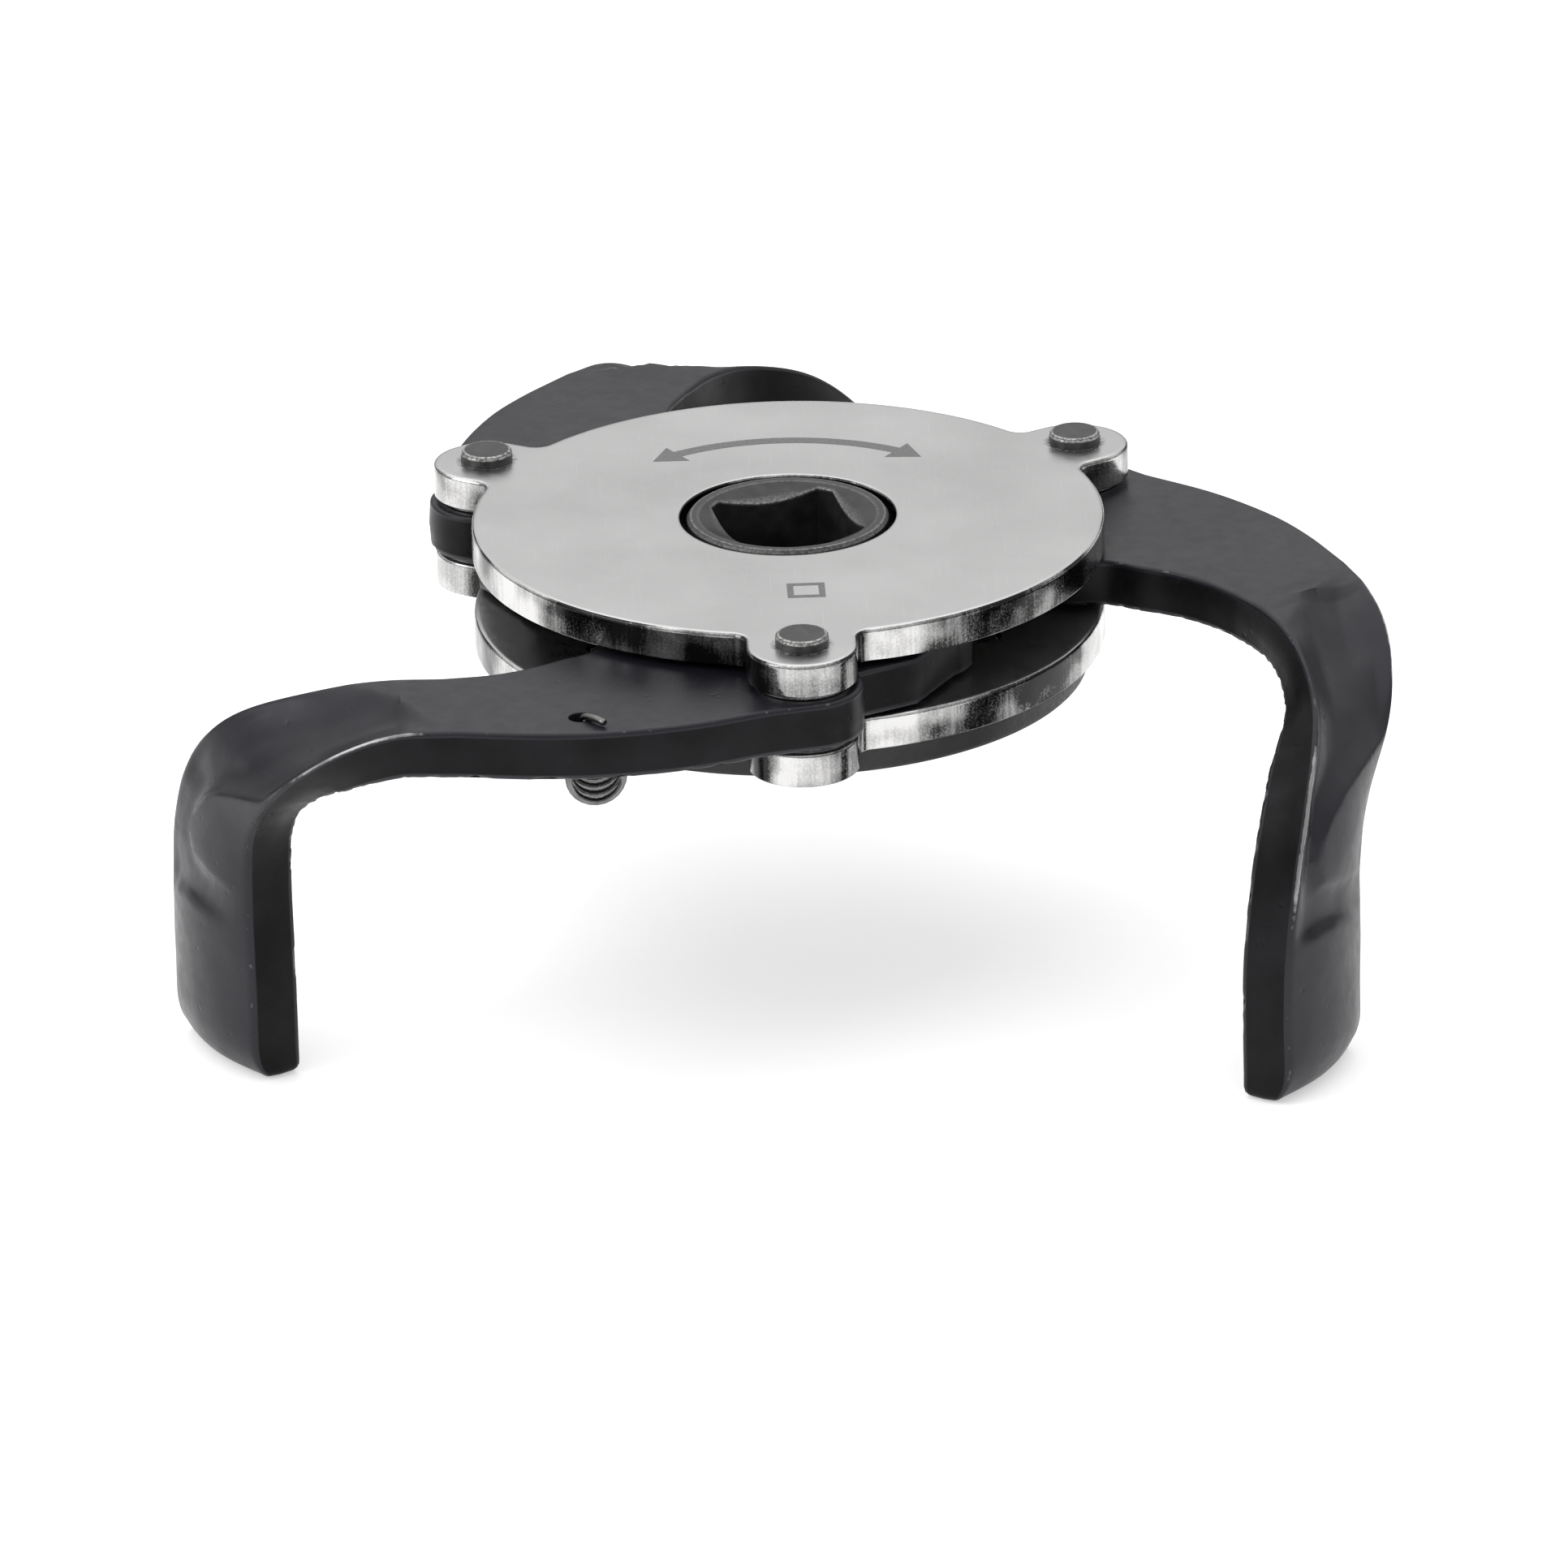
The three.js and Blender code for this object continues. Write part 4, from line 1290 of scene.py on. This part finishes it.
def arm_mesh(holes, swell):
    """The strap and jaw are swept first, then the flat end is added and its faces filled."""
    mesh = bmesh.new()
    worn = mesh.verts.layers.float.new("wear")
    cut = mesh.verts.layers.float.new("sheared_and_shaded")

    def vertex(point, wear=0.0, sheared_and_shaded=0.0):
        made = mesh.verts.new(point)
        made[worn] = wear
        made[cut] = sheared_and_shaded
        return made

    sections = [[vertex(*line) for line in arm_section(share, swell)] for share in arm_stations()]
    for ring_a, ring_b in zip(sections, sections[1:]):
        bridge(mesh, ring_a, ring_b)
    end = sections[-1]
    middle = sum((spot.co for spot in end), Vector()) / len(end)
    inside = [vertex(middle + (spot.co - middle) * END_LAND) for spot in end]
    bridge(mesh, end, inside)
    fill_flat(mesh, inside)

    # the flat end's sides start and stop at the first section's own vertices
    first = sections[0]
    other_side = LEVEL_COUNT + FACE_POINTS
    upper_face = first[LEVEL_COUNT:other_side]
    lower_face = first[other_side + LEVEL_COUNT:]
    path = flat_end_path()
    steps = lefts([spot for spot, ease in path], closed=False)
    columns = [first[:LEVEL_COUNT]]
    for (spot, ease), step in list(zip(path, steps))[1:-1]:
        columns.append([vertex(*line) for line in flat_end_column(spot, ease, step)])
    columns.append(first[other_side:other_side + LEVEL_COUNT][::-1])
    for column, after in zip(columns, columns[1:]):
        bridge(mesh, column, after, closed=False)
    lowest = [column[0] for column in columns] + lower_face
    highest = [column[-1] for column in columns] + upper_face[::-1]
    bore_levels = edge_levels(ARM_LOW, ARM_HIGH, land=0.15)
    bores = [wall(mesh, points, bore_levels) for points in holes]
    fill_flat(mesh, lowest, *(low for low, high in bores))
    fill_flat(mesh, highest, *(high for low, high in bores))
    return mesh


print("points in a section:", len(arm_section(0.5, 1)))

# %% Arms
ARM_BORE = 3.5
SPRING_HOLE = Vector((-22.0, -6.9))
SPRING_HOLE_RADIUS = 1.2

bore = hole(pivot_1, ARM_BORE)
hook_hole = hole(pivot_1.xy + SPRING_HOLE, SPRING_HOLE_RADIUS, 40)
for i in range(3):
    holes = [bore, hook_hole] if i == 0 else [bore]
    name = f"arm_{i + 1}"
    mesh = arm_mesh(holes, SWELL_WIDTH[i])
    piece(name, mesh, name, [arm_black], [name], spin=i * THIRD)

# %% [markdown]
# ## Pivots
# At each pivot a black rivet clamps a steel sleeve between the plates, and the arm swings
# on the sleeve with a thin washer above and below. The rivet's head is a low turned disc
# with a narrow chamfer that has been rubbed bright.

# %% Rivets, sleeves and washers
SLEEVE_RADII = (2.3, 3.2)
WASHER_RADII = (3.5, 4.7)
SHANK = 2.0
HEAD_SOFT = 0.25
TOP_HOLLOW = 0.04


def rivet_section(number):
    low, high = box_mm(f"pivot_rivet_{number}")
    head = (high.x - low.x) / 2
    lower = [(0, low.z, 0), (head - HEAD_SOFT, low.z, 0.1), (head, low.z + HEAD_SOFT, 0.1)]
    lower.append((head, LOWER_LOW, 0.08))
    shank = [(SHANK, LOWER_LOW, 0), (SHANK, UPPER_HIGH, 0)]
    upper = [(head, UPPER_HIGH, 0.06), (head, high.z - HEAD_SOFT, 0.1), (head - HEAD_SOFT, high.z, 0.1)]
    upper += [(head * 0.5, high.z, 0), (0, high.z - TOP_HOLLOW, 0)]
    return lower + shank + upper


def ring_section(radii, low, high, easing=0.08):
    inner, outer = radii
    return [(inner, low, easing), (outer, low, easing), (outer, high, easing), (inner, high, easing)]


for number, pivot in enumerate(PIVOTS, 1):
    names = [f"{kind}_{number}" for kind in ("pivot_rivet", "pivot_sleeve", "upper_washer", "lower_washer")]
    rivet, sleeve, upper, lower = names
    piece(rivet, spun(rivet_section(number), pivot), "frame", [rivet_black], [rivet])
    heights = [corner.z for corner in box_mm(sleeve)]
    mesh = spun(ring_section(SLEEVE_RADII, *heights), pivot, tube=True)
    piece(sleeve, mesh, "frame", [plain_steel], [sleeve])
    for washer in (upper, lower):
        heights = [corner.z for corner in box_mm(washer)]
        mesh = spun(ring_section(WASHER_RADII, *heights), pivot, tube=True)
        piece(washer, mesh, "frame", [plain_steel], [washer])

# %% Disc rivets
DISC_SHANK = 1.5
DISC_HEAD_HEIGHT = 1.1

for number, spot in enumerate(disc_rivet_spots, 1):
    name = f"disc_rivet_{number}"
    low, high = box_mm(name)
    head = (high.x - low.x) / 2
    under = low.z + DISC_HEAD_HEIGHT
    section = [
        (0, low.z, 0), (head * 0.6, low.z, 0), (head, low.z + 0.3, 0.2), (head, under, 0.1),
        (DISC_SHANK, under, 0), (DISC_SHANK, high.z, 0.15), (0, high.z, 0),
    ]
    piece(name, spun(section, spot, 48), "frame", [rivet_black], [name])

# %% [markdown]
# ## The return spring
# A small wire spring lies under the strap of arm 1. Its inner hook goes through the lower
# plate and its outer hook comes up through a hole in the strap and lies over it. The wire
# is one path: hook, coil, hook. A round section is carried along it without twisting.

# %% Path of the wire
WIRE_RADIUS = 0.375
COIL_RADIUS = 2.72
COIL_X, COIL_Z = -20.6, 3.8
COIL_BACK, COIL_FRONT = -27.6, -38.5
COIL_TURNS = 5.75
COIL_START = radians(-45)
COIL_STEPS = 138
INNER_STEPS, OUTER_HOOK_STEPS = 30, 42


def coil_point(share):
    angle = COIL_START - 2 * pi * COIL_TURNS * share
    y = COIL_BACK + (COIL_FRONT - COIL_BACK) * share
    return Vector((COIL_X + COIL_RADIUS * cos(angle), y, COIL_Z + COIL_RADIUS * sin(angle)))


hook_at = pivot_1.xy + SPRING_HOLE
inner_hook = [(0, 0, 6.2), (0, 0, 4.2), (0, -0.5, 2.8), (0, -2.6, 2.3)]
outer_hook = [
    (-0.6, 1.3, 6.2), (0, 0.2, 7.6), (0, 0, 10.6),
    (0.3, -0.4, 12.1), (1.2, -1.5, 12.5), (2.3, -2.7, 12.45),
]
coil = [coil_point(i / COIL_STEPS) for i in range(COIL_STEPS + 1)]
into_coil = [Vector(mark) + ANCHOR.to_3d() for mark in inner_hook] + coil[2:4]
out_of_coil = coil[-4:-2] + [Vector(mark) + hook_at.to_3d() for mark in outer_hook]
wire_path = [along(into_coil, i / INNER_STEPS) for i in range(INNER_STEPS * 5 // 6)] + coil[3:-3]
wire_path += [along(out_of_coil, i / OUTER_HOOK_STEPS) for i in range(6, OUTER_HOOK_STEPS + 1)]
print("wire length, mm:", round(sum((b - a).length for a, b in zip(wire_path, wire_path[1:])), 1))

# %% Wire mesh
WIRE_SIDES = 12
TIP_SHARE = 0.72


def wire_mesh(path, radius):
    mesh = bmesh.new()
    across = Vector((1, 0, 0))
    rings = []
    for i, spot in enumerate(path):
        travel = (path[min(i + 1, len(path) - 1)] - path[max(i - 1, 0)]).normalized()
        across = (across - travel * across.dot(travel)).normalized()
        other = travel.cross(across)
        end = TIP_SHARE if i in (0, len(path) - 1) else 1.0
        ring = []
        for k in range(WIRE_SIDES):
            round_at = polar(radius * end, 2 * pi * k / WIRE_SIDES)
            ring.append(mesh.verts.new(spot + across * round_at.x + other * round_at.y))
        rings.append(ring)
    for ring_a, ring_b in zip(rings, rings[1:]):
        bridge(mesh, ring_a, ring_b)
    mesh.faces.new(rings[0])
    mesh.faces.new(rings[-1])
    return mesh


spring_start = tuple(Vector((ANCHOR.x, ANCHOR.y, LOWER_LOW)) * MM)
spring_end = tuple(Vector((hook_at.x, hook_at.y + 2, ARM_LOW)) * MM)
piece(
    "return_spring",
    wire_mesh(wire_path, WIRE_RADIUS),
    "frame and arm_1",
    [wire_steel],
    ["return_spring"],
    blend=("frame", "arm_1", spring_start, spring_end),
)

# %% [markdown]
# ## The floor and the light
# The wrench stands on its jaws on a plain pale floor. The light is a soft studio light: a
# wide box overhead and slightly behind, a small one on the left, and a pale room that is
# bright above and dim along its walls. Dark steel needs that, because what it mostly shows
# is a reflection of the room. The floor glows a little, like a light table.

# %% Floor
FLOOR_GLOW = 0.42
FLOOR_REACH = 4.0
FLOOR_GAP = 0.05

paper, tree, shader = new_finish("pale_floor", 0.0, 0.2)
speck = grain(tree, size_mm=1.5)
floor_colour = tint(tree, speck, grey(0.86, 0.002), grey(0.90, 0.002))
dress(tree, shader, Base_Color=floor_colour, Roughness=spread(tree, speck, 0.7, 0.8))
shader.inputs["Emission Color"].default_value = (1, 1, 1, 1)
shader.inputs["Emission Strength"].default_value = FLOOR_GLOW
mesh = bmesh.new()
bmesh.ops.create_grid(mesh, x_segments=8, y_segments=8, size=FLOOR_REACH)
floor_data = bpy.data.meshes.new("floor")
mesh.to_mesh(floor_data)
mesh.free()
floor_data.materials.append(paper)
floor = bpy.data.objects.new("floor", floor_data)
bpy.context.scene.collection.objects.link(floor)
floor.location.z = (FOOT - FLOOR_GAP) * MM
print("floor at, mm:", round(FOOT, 2))

# %% Room light
ROOM_DIM, ROOM_BRIGHT = 0.08, 0.95
ROOM_CLIMB = (0.02, 0.36)
FRONT_SHARE = 0.82
FRONT_TO_BACK = (-0.4, 0.4)

world = bpy.data.worlds.new("studio")
bpy.context.scene.world = world
world.use_nodes = True
tree = world.node_tree
tree.nodes.clear()
heading = node(tree, "ShaderNodeTexCoord").outputs["Generated"]
parts = node(tree, "ShaderNodeSeparateXYZ", {"Vector": heading}).outputs
above = spread(tree, parts["Z"], ROOM_DIM, ROOM_BRIGHT, *ROOM_CLIMB)
behind = spread(tree, parts["Y"], FRONT_SHARE, 1.0, *FRONT_TO_BACK)
strength = sums(tree, "MULTIPLY", above, behind)
room = node(tree, "ShaderNodeBackground", {"Color": (1, 1, 1, 1), "Strength": strength})
output = node(tree, "ShaderNodeOutputWorld")
tree.links.new(room.outputs[0], output.inputs["Surface"])


def soft_box(name, spot, size, watts):
    """A rectangular lamp that looks at the wrench."""
    data = bpy.data.lights.new(name, "AREA")
    data.shape = "RECTANGLE"
    data.size, data.size_y = size
    data.energy = watts
    box = bpy.data.objects.new(name, data)
    bpy.context.scene.collection.objects.link(box)
    box.location = spot
    box.rotation_euler = (-Vector(spot)).to_track_quat("-Z", "Y").to_euler()
    print(f"{name}: {watts} W")


soft_box("overhead_box", spot=(-0.2, 0.25, 1.5), size=(2.6, 2.2), watts=14)
soft_box("side_box", spot=(-1.3, -0.5, 0.7), size=(0.7, 0.9), watts=5)
bpy.context.scene.view_settings.view_transform = "Standard"
